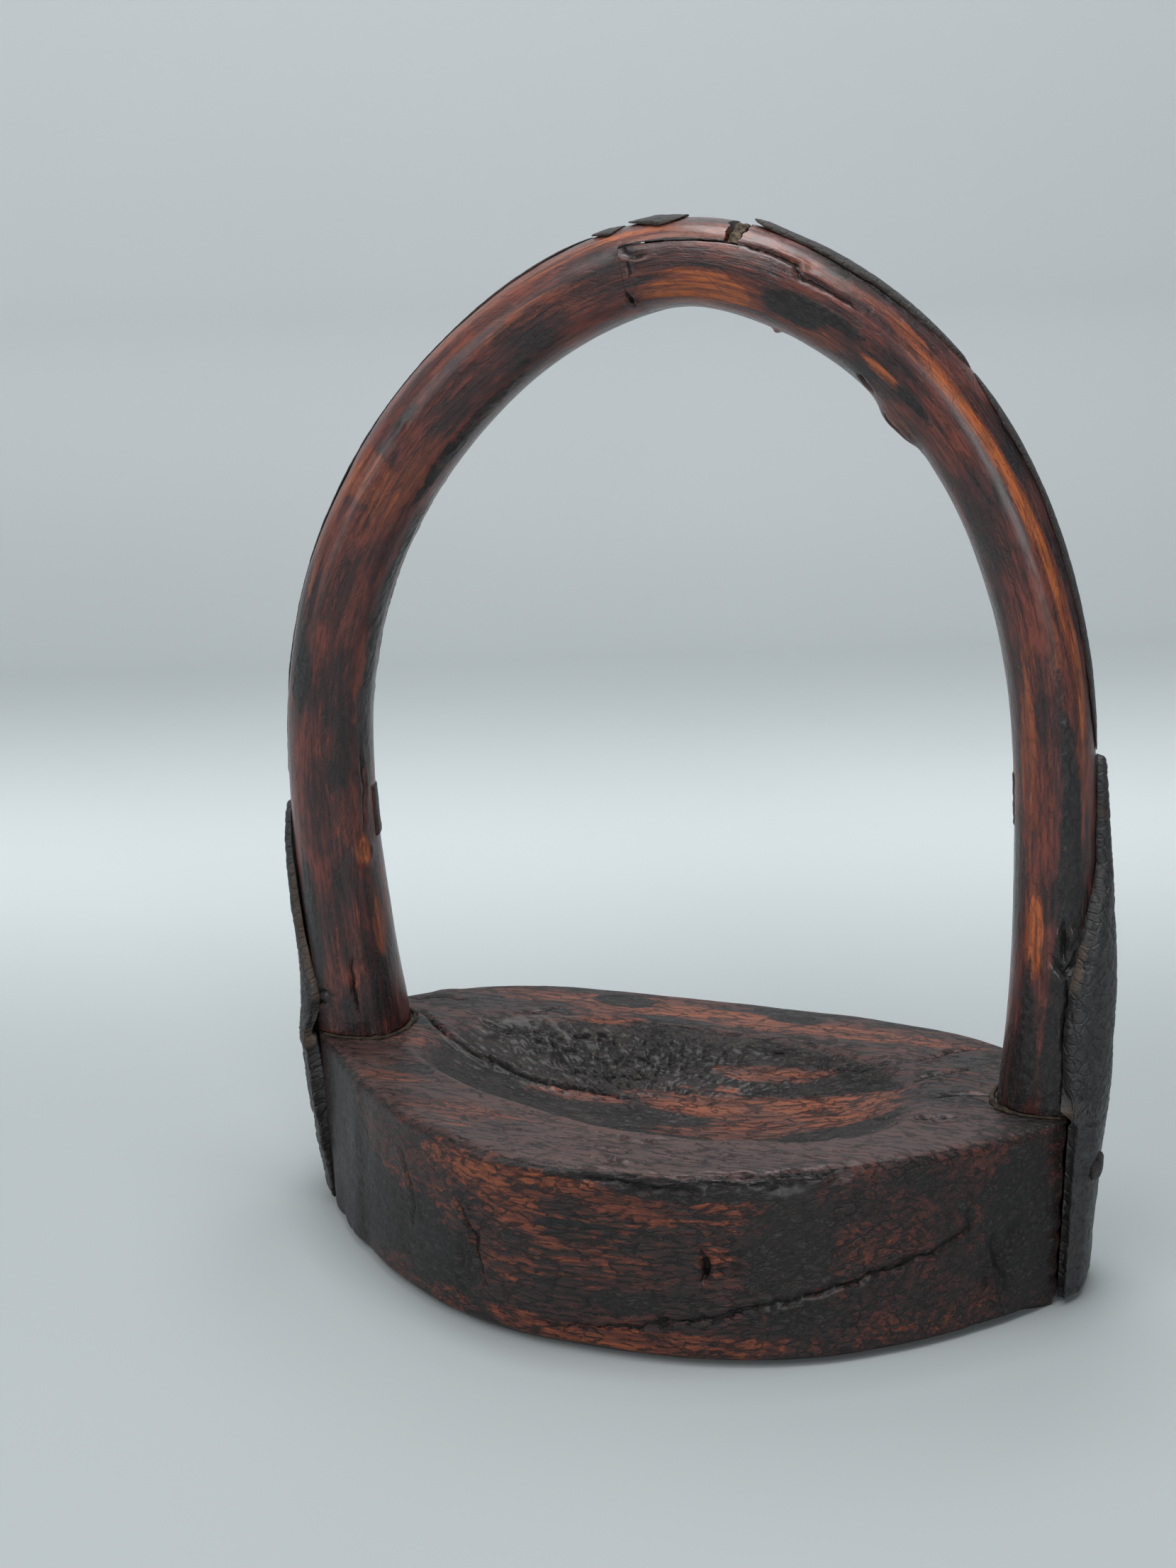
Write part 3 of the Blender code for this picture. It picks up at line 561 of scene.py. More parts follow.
    def finish(self, colour, rough, normal):
        self.put(self.bsdf.inputs["Base Color"], colour)
        self.put(self.bsdf.inputs["Roughness"], rough)
        self.put(self.bsdf.inputs["Normal"], normal)
        return self.mat


def fissures(sh, grain, grit, scabs, black, amount):
    """Short fissures along the grain, and a net of finer ones on the black crust."""
    bent = sh.shifted(grain, sh.noise(grain, (0.20, 0.35, 0.35), detail=3.0), 3.0)
    plates = sh.cells(bent, (0.13, 0.75, 0.75))
    small = sh.cells(bent, (0.24, 0.62, 0.62))
    fissure = sh.rest(sh.step(sh.add(plates, sh.centred(grit, 0.14)), 0.03, 0.16))
    fissure = sh.times(fissure, sh.step(sh.add(scabs, sh.times(black, 0.06)), 0.44, 0.56))
    net = sh.rest(sh.step(sh.add(small, sh.centred(grit, 0.20)), 0.03, 0.15))
    return sh.math('MAXIMUM', sh.times(fissure, amount), sh.times(sh.times(net, black), 0.7))


def open_cracks(sh, grain):
    """Shrinkage cracks, where the fields put them."""
    rough_edge = sh.centred(sh.noise(grain, (1.6, 1.6, 1.6), detail=4.0, rough=0.7), 0.6)
    gap = sh.math('ABSOLUTE', sh.add(sh.attribute("crack_d"), rough_edge))
    width = sh.attribute("crack_w")
    crack = sh.rest(sh.step(gap, sh.math('SUBTRACT', width, 0.10), sh.math('ADD', width, 0.10)))
    return sh.times(crack, sh.step(width, 0.02, 0.10))


def lacquered_wood(name, *, rough, scratch_turn, dusty, fissured, smoky, lacquer, calm_sheen_lacquer,
                   wood, amber, coal):
    """Dark lacquer over orange wood. Vertex fields say where it is worn, crusted or cracked.

    smoky 0 gives flaking black crust and 1 a soft black film; scratch_turn is in radians for
    each mm along the grain; lacquer, wood and coal run from dark to pale."""
    sh = Shader(name, specular=0.34 + 0.08 * smoky, coat=0.22 + 0.28 * smoky, coat_rough=0.26)
    grain = sh.attribute("grain", vector=True)
    worn, crust = sh.attribute("worn"), sh.attribute("crust")
    fibre = sh.noise(grain, (0.045, 1.05, 1.05), detail=6.0, rough=0.66)
    fine = sh.noise(grain, (0.16, 1.8, 1.8), detail=4.0, rough=0.72)
    mottle = sh.noise(grain, (0.055, 0.12, 0.12), detail=5.0, rough=0.6)
    flecks = sh.noise(grain, (0.26, 0.95, 0.95), detail=7.0, rough=0.72)
    scabs = sh.noise(grain, (0.30, 0.55, 0.55), detail=7.0, rough=0.7, distort=0.5)
    grit = sh.noise(grain, (1.5, 1.9, 1.9), detail=5.0, rough=0.68)
    pores = sh.noise(grain, (0.11, 1.7, 1.7), detail=2.0, rough=0.6)

    bare = sh.step(sh.add(worn, sh.centred(flecks, 1.45 - 0.25 * smoky),
                          sh.centred(fibre, 1.1 - 0.55 * smoky),
                          sh.centred(mottle, 0.7 + 0.3 * smoky)), 0.36, 0.62)
    deep = sh.step(sh.add(worn, sh.centred(flecks, 0.9), sh.centred(fibre, 1.2)), 0.82, 1.20)
    black = sh.step(sh.add(crust, sh.centred(scabs, 1.5), sh.centred(mottle, 0.5),
                           sh.centred(fibre, 0.8 * smoky)),
                    0.42 - 0.06 * smoky, 0.54 + 0.28 * smoky)

    tone = sh.add(sh.times(fibre, 0.36 - 0.14 * smoky), sh.times(mottle, 0.36 + 0.14 * smoky),
                  sh.times(fine, 0.28))
    film = sh.ramp(tone, (0.425, lacquer[0]), (0.5, lacquer[1]), (0.575, lacquer[2]))
    # calm marks a calmer, smoother film; its paler colour is also a painted sheen, reflected light
    # on the near rim painted into the film
    calm_and_sheen = sh.attribute("calm_and_sheen")
    film = sh.blend(sh.times(calm_and_sheen, 0.70), film, calm_sheen_lacquer)
    timber = sh.ramp(sh.add(sh.times(fibre, 0.55), sh.times(fine, 0.45)),
                     (0.39, wood[0]), (0.5, wood[1]), (0.60, wood[2]))
    timber = sh.blend(deep, timber, sh.ramp(fibre, (0.40, wood[1]), (0.52, amber)))
    colour = sh.blend(bare, film, timber)
    lines = sh.step(pores, 0.58, 0.68)
    colour = sh.blend(sh.times(lines, 0.55), colour, (0.0100, 0.0048, 0.0042))
    grey = sh.add(sh.times(grit, 0.6), sh.times(scabs, 0.4))
    colour = sh.blend(black, colour, sh.ramp(grey, (0.40, coal[0]), (0.60, coal[1])))
    seams = fissures(sh, grain, grit, scabs, black, fissured)
    colour = sh.blend(sh.times(seams, 0.95), colour, (0.0024, 0.0020, 0.0020))

    # scratches run across the grain and show the lighter under-layer
    streak = sh.noise(sh.twisted(grain, scratch_turn), (0.09, 2.3, 2.3), detail=2.0, rough=0.5)
    scratch = sh.times(sh.step(streak, 0.58, 0.66), sh.step(mottle, 0.42, 0.58))
    colour = sh.blend(sh.times(scratch, 0.28), colour, (0.110, 0.048, 0.034))

    crack = open_cracks(sh, grain)
    colour = sh.blend(sh.times(crack, 0.95), colour, (0.003, 0.0028, 0.0028))

    # fine dust in the hollows and specks of lint on what faces up
    film_dust = sh.times(sh.step(sh.up(), 0.3, 0.95),
                         sh.step(sh.add(mottle, sh.centred(grit, 0.5)), 0.38, 0.60))
    colour = sh.blend(sh.times(film_dust, dusty * 0.20), colour, (0.120, 0.098, 0.094))
    dots = sh.cells(grain, (0.62, 0.62, 0.62), feature='F1')
    speck = sh.rest(sh.step(dots, 0.05, 0.10))
    speck = sh.times(speck, sh.step(sh.up(), 0.35, 0.8))
    colour = sh.blend(sh.times(speck, dusty * 0.6), colour, (0.26, 0.20, 0.15))

    shine = sh.add(rough, sh.centred(mottle, 0.35), sh.centred(grit, 0.35), sh.centred(fibre, 0.45),
                   sh.times(black, 0.10), sh.times(film_dust, dusty * 0.12),
                   sh.times(scratch, 0.12))
    relief = sh.add(sh.times(fine, 0.55), sh.times(fibre, 0.9), sh.times(bare, -0.16),
                    sh.times(sh.times(grit, black), 1.5), sh.times(seams, -0.9),
                    sh.times(lines, -0.25), sh.times(scratch, -0.20), sh.times(crack, -1.6),
                    sh.times(speck, dusty * 0.3), sh.times(grit, 0.30))
    relief = sh.times(relief, sh.rest(sh.times(calm_and_sheen, 0.55)))
    return sh.finish(colour, shine, sh.bump(relief, 0.38 - 0.04 * smoky))


def old_hide(name, dark, pale, rough, tan):
    """Black old hide: wrinkled, with a raw tan edge where the field 'edge' says."""
    sh = Shader(name, coat=0.10)
    grain = sh.attribute("grain", vector=True)
    folds = sh.noise(grain, (0.55, 0.75, 0.75), detail=5.0, rough=0.6, distort=0.6)
    grit = sh.noise(grain, (2.6, 2.6, 2.6), detail=4.0, rough=0.65)
    broad = sh.noise(grain, (0.09, 0.12, 0.12), detail=3.0)
    creases = sh.cells(grain, (0.55, 0.85, 0.85))
    colour = sh.ramp(sh.add(sh.times(folds, 0.5), sh.times(grit, 0.5)), (0.36, dark), (0.66, pale))
    raw = sh.step(sh.add(sh.attribute("edge"), sh.centred(folds, 1.2)),
                  0.42, 0.75)
    colour = sh.blend(raw, colour, sh.ramp(grit, (0.3, tan[0]), (0.7, tan[1])))
    stain = sh.step(sh.add(broad, sh.centred(grit, 0.3)), 0.58, 0.70)
    colour = sh.blend(sh.times(stain, 0.35), colour, (0.045, 0.022, 0.014))
    shine = sh.add(rough, sh.centred(grit, 0.3),
                   sh.centred(broad, 0.3), sh.times(raw, 0.25))
    relief = sh.add(sh.times(folds, 1.1), sh.times(grit, 0.7),
                    sh.times(sh.step(creases, 0.0, 0.14), 0.45))
    return sh.finish(colour, shine, sh.bump(relief, 0.42))


def crumbly(name, dark, pale, rough):
    """Putty: grainy, dusty and dull."""
    sh = Shader(name, specular=0.3)
    grain = sh.attribute("grain", vector=True)
    lumps = sh.noise(grain, (1.1, 1.1, 1.1), detail=6.0, rough=0.7)
    grit = sh.noise(grain, (4.0, 4.0, 4.0), detail=4.0, rough=0.7)
    mid = tuple(0.5 * (a + b) for a, b in zip(dark, pale))
    colour = sh.ramp(lumps, (0.38, dark), (0.52, mid), (0.66, pale))
    colour = sh.blend(sh.step(grit, 0.62, 0.72), colour, (0.30, 0.24, 0.17))
    relief = sh.add(lumps, sh.times(grit, 0.6))
    return sh.finish(colour, sh.add(rough - 0.1, sh.times(grit, 0.2)), sh.bump(relief, 0.5))


def peg_timber(name):
    """Plain peg wood with fibres along X and Z, used on the hidden and half-hidden pegs."""
    sh = Shader(name, specular=0.4)
    where = sh.scaled(sh.position(), (1000.0, 1000.0, 1000.0))
    fibre = sh.noise(where, (0.25, 2.2, 0.8), detail=5.0, rough=0.6)
    spotty = sh.noise(where, (1.2, 1.2, 1.2), detail=4.0)
    colour = sh.ramp(fibre, (0.35, (0.035, 0.014, 0.008)), (0.65, (0.13, 0.055, 0.024)))
    colour = sh.blend(sh.step(spotty, 0.5, 0.7), colour, (0.016, 0.010, 0.009))
    return sh.finish(colour, sh.add(0.5, sh.times(spotty, 0.2)), sh.bump(fibre, 0.2))


def old_iron(name):
    """Dark hand-made nail with a little rust."""
    sh = Shader(name, metal=0.6)
    grain = sh.attribute("grain", vector=True)
    scale = sh.noise(grain, (0.9, 0.9, 0.9), detail=6.0, rough=0.65)
    grit = sh.noise(grain, (4.0, 4.0, 4.0), detail=3.0)
    colour = sh.ramp(scale, (0.38, (0.012, 0.011, 0.012)), (0.55, (0.045, 0.040, 0.038)),
                     (0.70, (0.060, 0.028, 0.016)))
    relief = sh.add(scale, sh.times(grit, 0.3))
    return sh.finish(colour, sh.add(0.35, sh.times(grit, 0.35)), sh.bump(relief, 0.25))


TREAD_LACQUER = lacquered_wood(
    "tread_lacquer", rough=0.43, scratch_turn=0.02, dusty=1.0, fissured=0.9, smoky=0.0,
    lacquer=((0.0055, 0.0042, 0.0044), (0.0230, 0.0090, 0.0080), (0.0850, 0.0200, 0.0125)),
    # paler than the film: a smoother film, painted lighter as a painted sheen on the near rim
    calm_sheen_lacquer=(0.0640, 0.0300, 0.0255),
    wood=((0.0360, 0.0080, 0.0050), (0.1100, 0.0230, 0.0100), (0.2100, 0.0520, 0.0165)),
    amber=(0.225, 0.058, 0.018),
    coal=((0.0042, 0.0037, 0.0037), (0.047, 0.040, 0.037)))
BOW_LACQUER = lacquered_wood(
    "bow_lacquer", rough=0.34, scratch_turn=0.09, dusty=0.35, fissured=0.30, smoky=1.0,
    lacquer=((0.0080, 0.0046, 0.0050), (0.0520, 0.0120, 0.0100), (0.1650, 0.0340, 0.0195)),
    calm_sheen_lacquer=(0.0480, 0.0125, 0.0105),
    wood=((0.0650, 0.0135, 0.0080), (0.1600, 0.0330, 0.0120), (0.2600, 0.0650, 0.0190)),
    amber=(0.400, 0.098, 0.020),
    coal=((0.0050, 0.0044, 0.0048), (0.026, 0.0215, 0.0215)))
CHEEK_HIDE = old_hide("cheek_hide", (0.0060, 0.0060, 0.0065), (0.034, 0.033, 0.034), 0.44,
                      ((0.028, 0.020, 0.014), (0.095, 0.066, 0.045)))
STRIP_HIDE = old_hide("strip_hide", (0.0050, 0.0042, 0.0042), (0.017, 0.013, 0.012), 0.52,
                      ((0.012, 0.008, 0.006), (0.030, 0.020, 0.014)))
SLIP_HIDE = old_hide("slip_hide", (0.008, 0.005, 0.004), (0.034, 0.015, 0.010), 0.52,
                     ((0.030, 0.014, 0.009), (0.080, 0.040, 0.022)))
PUTTY = crumbly("brown_putty", (0.006, 0.0045, 0.0035), (0.075, 0.055, 0.034), 0.85)
CROWN_PUTTY = crumbly("crown_putty", (0.014, 0.010, 0.007), (0.190, 0.145, 0.095), 0.85)
PEG_WOOD = peg_timber("peg_wood")
NAIL_IRON = old_iron("nail_iron")


# ---- tread block -----------------------------------------------------------------------------
TREAD_COLS = (300, 24, 210, 24)       # columns along the front, right end, back, left end
WALL_ROWS, EDGE_ROWS, TOP_ROWS, DISH_ROWS, BASE_ROWS = 54, 12, 30, 56, 10


def lens_y(x, back, z):
    """Front or back edge of the tread's plan at a given x and height."""
    low = 1.0 - z / TREAD_H
    if back:
        ax, ay, powers, ends = BACK_APEX[0], BACK_APEX[1], BACK_POWER, (END_BACK_Y,) * 2
    else:
        ax, ay = FRONT_APEX[0] + FRONT_APEX_SHIFT * low, FRONT_APEX[1]
        powers = [mix(a, b, low) for a, b in zip(FRONT_POWER_TOP, FRONT_POWER_BASE)]
        ends = END_FRONT_Y
    left = x < ax
    t = np.abs((x - ax) / (np.where(left, END_TOP_X[0], END_TOP_X[1]) - ax))
    power = np.where(left, powers[0], powers[1])
    end = np.where(left, ends[0], ends[1])
    return end + (ay - end) * (1.0 - np.minimum(1.0, t) ** power)


def even_steps(back, count):
    """Positions along a long edge, as fractions of its width, evenly spaced round its curve."""
    x = np.linspace(END_TOP_X[0], END_TOP_X[1], 4000)
    y = lens_y(x, back, TREAD_H)
    arc = np.concatenate([[0.0], np.cumsum(np.hypot(np.diff(x), np.diff(y)))])
    xs = np.interp(np.linspace(0.0, arc[-1], count + 1), arc, x)
    return (xs - END_TOP_X[0]) / (END_TOP_X[1] - END_TOP_X[0])


FRONT_T, BACK_T = even_steps(False, TREAD_COLS[0]), even_steps(True, TREAD_COLS[2])


def tread_outline(z):
    """Closed plan of the block at height z: front, right end, back, left end."""
    x0, x1 = end_x(0, z), end_x(1, z)
    swell = BELLY * math.sin(math.pi * z / TREAD_H)
    xf, xb = mix(x0, x1, FRONT_T), mix(x0, x1, BACK_T[::-1])
    front = np.stack([xf, lens_y(xf, False, z) - swell * np.sin(math.pi * FRONT_T)], -1)
    back = np.stack([xb, lens_y(xb, True, TREAD_H)
                     + swell * np.sin(math.pi * BACK_T[::-1])], -1)
    right = np.linspace(front[-1], back[0], TREAD_COLS[1] + 1)[1:-1]
    left = np.linspace(back[-1], front[0], TREAD_COLS[3] + 1)[1:-1]
    ring = np.concatenate([front, right, back, left])
    weight = np.concatenate([np.ones(len(front)), np.full(len(right), 0.15),
                             np.ones(len(back)), np.full(len(left), 0.15)])
    return ring, weight


def tread_ring(z, inset):
    ring, weight = tread_outline(z)
    lean = np.array(DISH_C) - ring
    near_end = np.minimum(np.abs(ring[:, 0] - end_x(0, z)), np.abs(ring[:, 0] - end_x(1, z)))
    flat = mix(0.15, 1.0, smooth(near_end / 5.0))
    k = inset * np.minimum(weight, flat) / np.hypot(lean[:, 0] * 0.25, lean[:, 1])
    return np.stack([ring[:, 0] + lean[:, 0] * k * 0.25, ring[:, 1] + lean[:, 1] * k,
                     np.full(len(ring), z)], -1)


def dish_reach(xy):
    """How far out of the dish a point lies: 1 on the rim."""
    d = xy - np.array(DISH_C)
    low, high = np.array(DISH_POWER[0]), np.array(DISH_POWER[1])
    pick = (d[..., 0] > 0).astype(int)
    p = np.where(d[..., 1] > 0, high[pick], low[pick])
    return (np.abs(d[..., 0] / DISH_A) ** p + np.abs(d[..., 1] / DISH_B) ** p) ** (1.0 / p)


RIM_K = np.linspace(0.0, 1.6, 400)


def rim_profile(softness):
    """Depth of the dish from its centre outwards, rounded over the rim."""
    sharp = (1.0 - np.minimum(1.0, RIM_K) ** 2.4) ** 0.9
    window = np.hanning(2 * softness + 3)[1:-1]
    padded = np.pad(sharp, softness, mode='edge')
    return np.convolve(padded, window / window.sum(), mode='valid')


RIM_CRISP, RIM_SOFT = rim_profile(5), rim_profile(30)


def tread_grid():
    """Rings of the block from the base, up the wall, over the rim and down into the dish."""
    turn = np.linspace(0.1, math.pi / 2, EDGE_ROWS)
    profile_z = np.concatenate([
        [z for z, _ in BASE_EDGE], np.linspace(2.0, TREAD_H - TOP_EDGE_R, WALL_ROWS),
        TREAD_H - TOP_EDGE_R + TOP_EDGE_R * np.sin(turn)])
    inset = np.concatenate([
        [drawn_in for _, drawn_in in BASE_EDGE], np.zeros(WALL_ROWS),
        TOP_EDGE_R * (1.0 - np.cos(turn))])
    rings = [tread_ring(z, w) for z, w in zip(profile_z, inset)]
    edge = rings[-1]
    wall_rows = len(rings)
    outline, _ = tread_outline(TREAD_H)
    centre = np.array(DISH_C)
    rim = centre + (outline - centre) / dish_reach(outline)[:, None]
    for t in np.linspace(0, 1, TOP_ROWS + 1)[1:]:
        rings.append(np.concatenate([mix(edge[:, :2], rim, t),
                                     np.full((len(rim), 1), TREAD_H)], -1))
    for k in np.linspace(1.0, 0.02, DISH_ROWS + 1)[1:]:
        xy = centre + (rim - centre) * k
        rings.append(np.concatenate([xy, np.full((len(rim), 1), TREAD_H)], -1))
    grid = np.array(rings)
    reach = dish_reach(grid[wall_rows:, :, :2])
    across = (grid[wall_rows:, :, :2] - centre) / [DISH_A, DISH_B]
    soft = smooth((np.abs(across[..., 0]) - 0.45) / 0.4) + 0.5 * smooth(across[..., 1] / 0.5)
    depth = mix(np.interp(reach, RIM_K, RIM_CRISP), np.interp(reach, RIM_K, RIM_SOFT),
                np.clip(soft, 0.0, 1.0))
    grid[wall_rows:, :, 2] = TREAD_H - DISH_D * depth
    low = [mix(np.array([*DISH_C, 0.0]), rings[0], k) for k in np.linspace(0.06, 0.97, BASE_ROWS)]
    return np.concatenate([np.array(low), grid]), wall_rows + BASE_ROWS


FRONT_WORN = [  # x, z, half length, half height, amount
    (-26, 30.5, 10, 2.8, 1.05), (-10, 31, 10, 2.4, 0.9), (-16, 25, 8, 3.5, 0.6),
    (4, 27, 9, 3.5, 0.6), (21, 30, 7, 2.2, 0.5), (-4, 18, 12, 6, 0.38), (-42, 22, 5, 4, 0.42),
    (-31, 20, 6, 5, 0.35), (-10, 4, 12, 3, 0.62), (14, 3.5, 18, 3, 0.68), (50, 4.5, 12, 2.8, 0.32),
    (-32, 4, 8, 2.5, 0.5), (19, 19, 3, 3, 0.55), (44, 22, 8, 8, 0.26), (60, 22, 5, 4, 0.30),
    (20, 25, 5, 5, 0.35), (-18, 14, 8, 4, 0.3), (42, 10, 6, 4, 0.15)]
FRONT_CRUST = [
    (-60, 17, 9, 22, 0.75), (-36, 13, 6, 9, 0.85), (31, 19, 8, 12, 0.62), (58, 20, 8, 10, 0.45),
    (18, 31.5, 16, 2.0, 0.85), (-27, 11, 5, 6, 0.75), (5, 11, 8, 3, 0.6), (-47, 14, 6, 9, 0.75),
    (35, 8, 7, 3, 0.45), (66, 16, 5, 22, 0.6), (-6, 33.2, 16, 1.0, 0.55)]
TOP_WORN = [
    (-34, -22, 10, 3.0, 0.75), (-13, 31, 22, 3.4, 0.95), (16, 29, 22, 3.0, 1.0),
    (-20, 25, 8, 2.2, 0.75), (38, 27.5, 14, 2.6, 0.8), (-40, 30, 10, 4, 0.45), (-50, 4, 8, 7, 0.4),
    (-25, -26, 9, 4, 0.4), (49, -3, 8, 2.5, 0.35), (52, 14, 7, 4, 0.3),
    (-60, 14, 6, 5, 0.35), (-48, -13, 8, 3, 0.5)]
DISH_WORN = [
    (17, 9, 18, 3.6, 0.80), (30, 8.8, 12, 2.8, 0.75), (21, 2, 16, 3.4, 0.70), (2, 7, 9, 2.6, 0.75),
    (15, 17.6, 12, 1.7, 0.85), (-18, 6.4, 8, 2.0, 0.65), (36, 4, 7, 2.5, 0.6),
    (-6, 9.5, 7, 1.8, 0.55), (-26, 4, 6, 1.8, 0.45), (3, 13.5, 8, 1.2, 0.4), (8, -3, 14, 3.0, 0.6)]
TOP_CRUST = [
    (-19, 32.5, 6.0, 2.6, 1.3), (16, 32.2, 5.0, 2.0, 1.2), (-66, 8, 5, 12, 0.5),
    (66, 8, 6, 12, 0.5), (-46, -9, 6, 2.5, 0.7), (62, -4, 8, 6, 0.45), (-52, 24, 8, 5, 0.5),
    (55, 24, 8, 5, 0.4), (-8, 22, 14, 3.0, 0.5)]
TOP_CRACKS = [
    ([(-56, 17), (-53, 15), (-50, 11), (-46, 9.6), (-41, 7.6), (-34, 7.6), (-28, 6.8),
      (-20, 8.2), (-11, 7.4), (-6, 9.5)], 0.34, 1.5),
    ([(41, 19), (46, 24), (50, 27.5)], 0.20, 0.6), ([(42, 11), (46, 15), (52, 18.5)], 0.20, 0.6),
    ([(41, -8), (45, -5), (51, -2), (54, -1)], 0.24, 0.7),
    ([(47, 5), (52, 7.5), (60, 9.5)], 0.20, 0.5),
    ([(-38, 23), (-34, 22.5), (-30, 26)], 0.18, 0.4),
    ([(-44, 17), (-38, 16.2), (-33, 18)], 0.20, 0.5),
    ([(-27, 12), (-20, 12.6), (-12, 14), (-5, 13.5)], 0.16, 0.5),
    ([(-60, 22), (-55, 24.5), (-48, 25)], 0.16, 0.4), ([(8, 22), (14, 21.2), (21, 22)], 0.16, 0.4),
    ([(-66, -1), (-61, 1.5), (-57, 2)], 0.12, 0.3), ([(24, 17), (29, 18), (34, 17)], 0.14, 0.4)]
FRONT_CRACKS = [
    ([(-14, 4.4), (-6, 5), (6, 6.8), (14, 8.4), (19, 9.3), (27, 11.3), (35, 13), (45, 15.4),
      (53, 17.4), (57, 20), (57.6, 26)], 0.20, 0.6),
    ([(-27.5, 24), (-25, 20), (-23, 14), (-21.5, 9)], 0.26, 0.7),
    ([(60.5, 18), (62, 12), (63.5, 6)], 0.22, 0.6),
    ([(17.6, 21), (18.4, 18), (17.6, 15.4)], 0.40, 0.9),
    ([(-41, 28), (-38.5, 21), (-38, 13)], 0.14, 0.3), ([(3, 33), (9, 31.6), (18, 32.2)], 0.2, 0.5)]
FLAKING = [(-24, 19, 22, 7, 1.0), (-5, 10, 30, 4, 0.5)]
SPLINTERED = [(12, 0, 26, 1, 1.0)]
# x, z, half width, half height
SCARS = ((-24, 15, 2.6, 9), (62, 11, 2.2, 8), (20, 17, 3.0, 4.0))
BACK_WORN = [(-30, 28, 14, 3, 0.6), (10, 30, 16, 2.5, 0.6), (30, 16, 10, 6, 0.45),
             (-15, 12, 12, 5, 0.4), (0, 3, 30, 2.5, 0.55), (-50, 20, 6, 6, 0.35)]
BACK_CRUST = [(-40, 14, 12, 9, 0.6), (5, 20, 12, 6, 0.6), (50, 18, 14, 16, 0.7),
              (-62, 16, 8, 20, 0.8), (24, 6, 8, 4, 0.5)]
BACK_CRACKS = [([(-50, 24), (-36, 22), (-20, 21), (-4, 18), (6, 17.5)], 0.22, 0.6),
               ([(20, 27), (34, 26), (46, 24)], 0.18, 0.5),
               ([(-8, 8), (8, 7), (22, 8.5)], 0.16, 0.4)]


def tread_areas(rows, cols, top_row):
    """Masks of the base, the top, the wall, and the front and back of the wall."""
    row, col = np.indices((rows, cols))
    base, top = row < BASE_ROWS, row >= top_row - 5
    wall = ~top & ~base
    front = (col <= TREAD_COLS[0]) & wall
    back = (col > TREAD_COLS[0] + TREAD_COLS[1]) & (col < cols - TREAD_COLS[3] + 1) & wall
    return base, top, wall, front, back


def tread_wear(grid, base, top, wall, front, back):
    """Fields of the block: worn, crust, and the cracks' distance, half width and depth."""
    x, y, z = grid[..., 0], grid[..., 1], grid[..., 2]
    ends = wall & ~front & ~back
    worn, crust = np.zeros(x.shape), np.where(ends, 0.5, 0.0)
    for where, across, worn_rows, crust_rows in ((top, y, TOP_WORN, TOP_CRUST),
                                                 (front, z, FRONT_WORN, FRONT_CRUST),
                                                 (back, z, BACK_WORN, BACK_CRUST)):
        worn += np.where(where, spots(x, across, worn_rows), 0.0)
        crust += np.where(where, spots(x, across, crust_rows), 0.0)
    inside = smooth((1.0 - dish_reach(grid[..., :2])) / 0.10) * top
    streaks = spots(x, y, DISH_WORN) * inside
    worn = worn * (1.0 - 0.8 * inside) + streaks
    crust = np.clip(crust * (1.0 - inside) + inside * (0.95 - 1.1 * streaks), 0.0, 1.2)
    ju, jv = 0.9 * fractal(grid * 0.45, 3, 3), 0.9 * fractal(grid * 0.45, 3, 9)
    marks = cracks(x + ju, y + jv, TOP_CRACKS)
    for where, other in ((front, cracks(x + ju, z + jv, FRONT_CRACKS)),
                         (back, cracks(x + ju, z + jv, BACK_CRACKS)),
                         (base | ends, (50.0, 0.0, 0.0))):
        marks = [np.where(where, new, old) for new, old in zip(other, marks)]
    return worn, crust, *marks


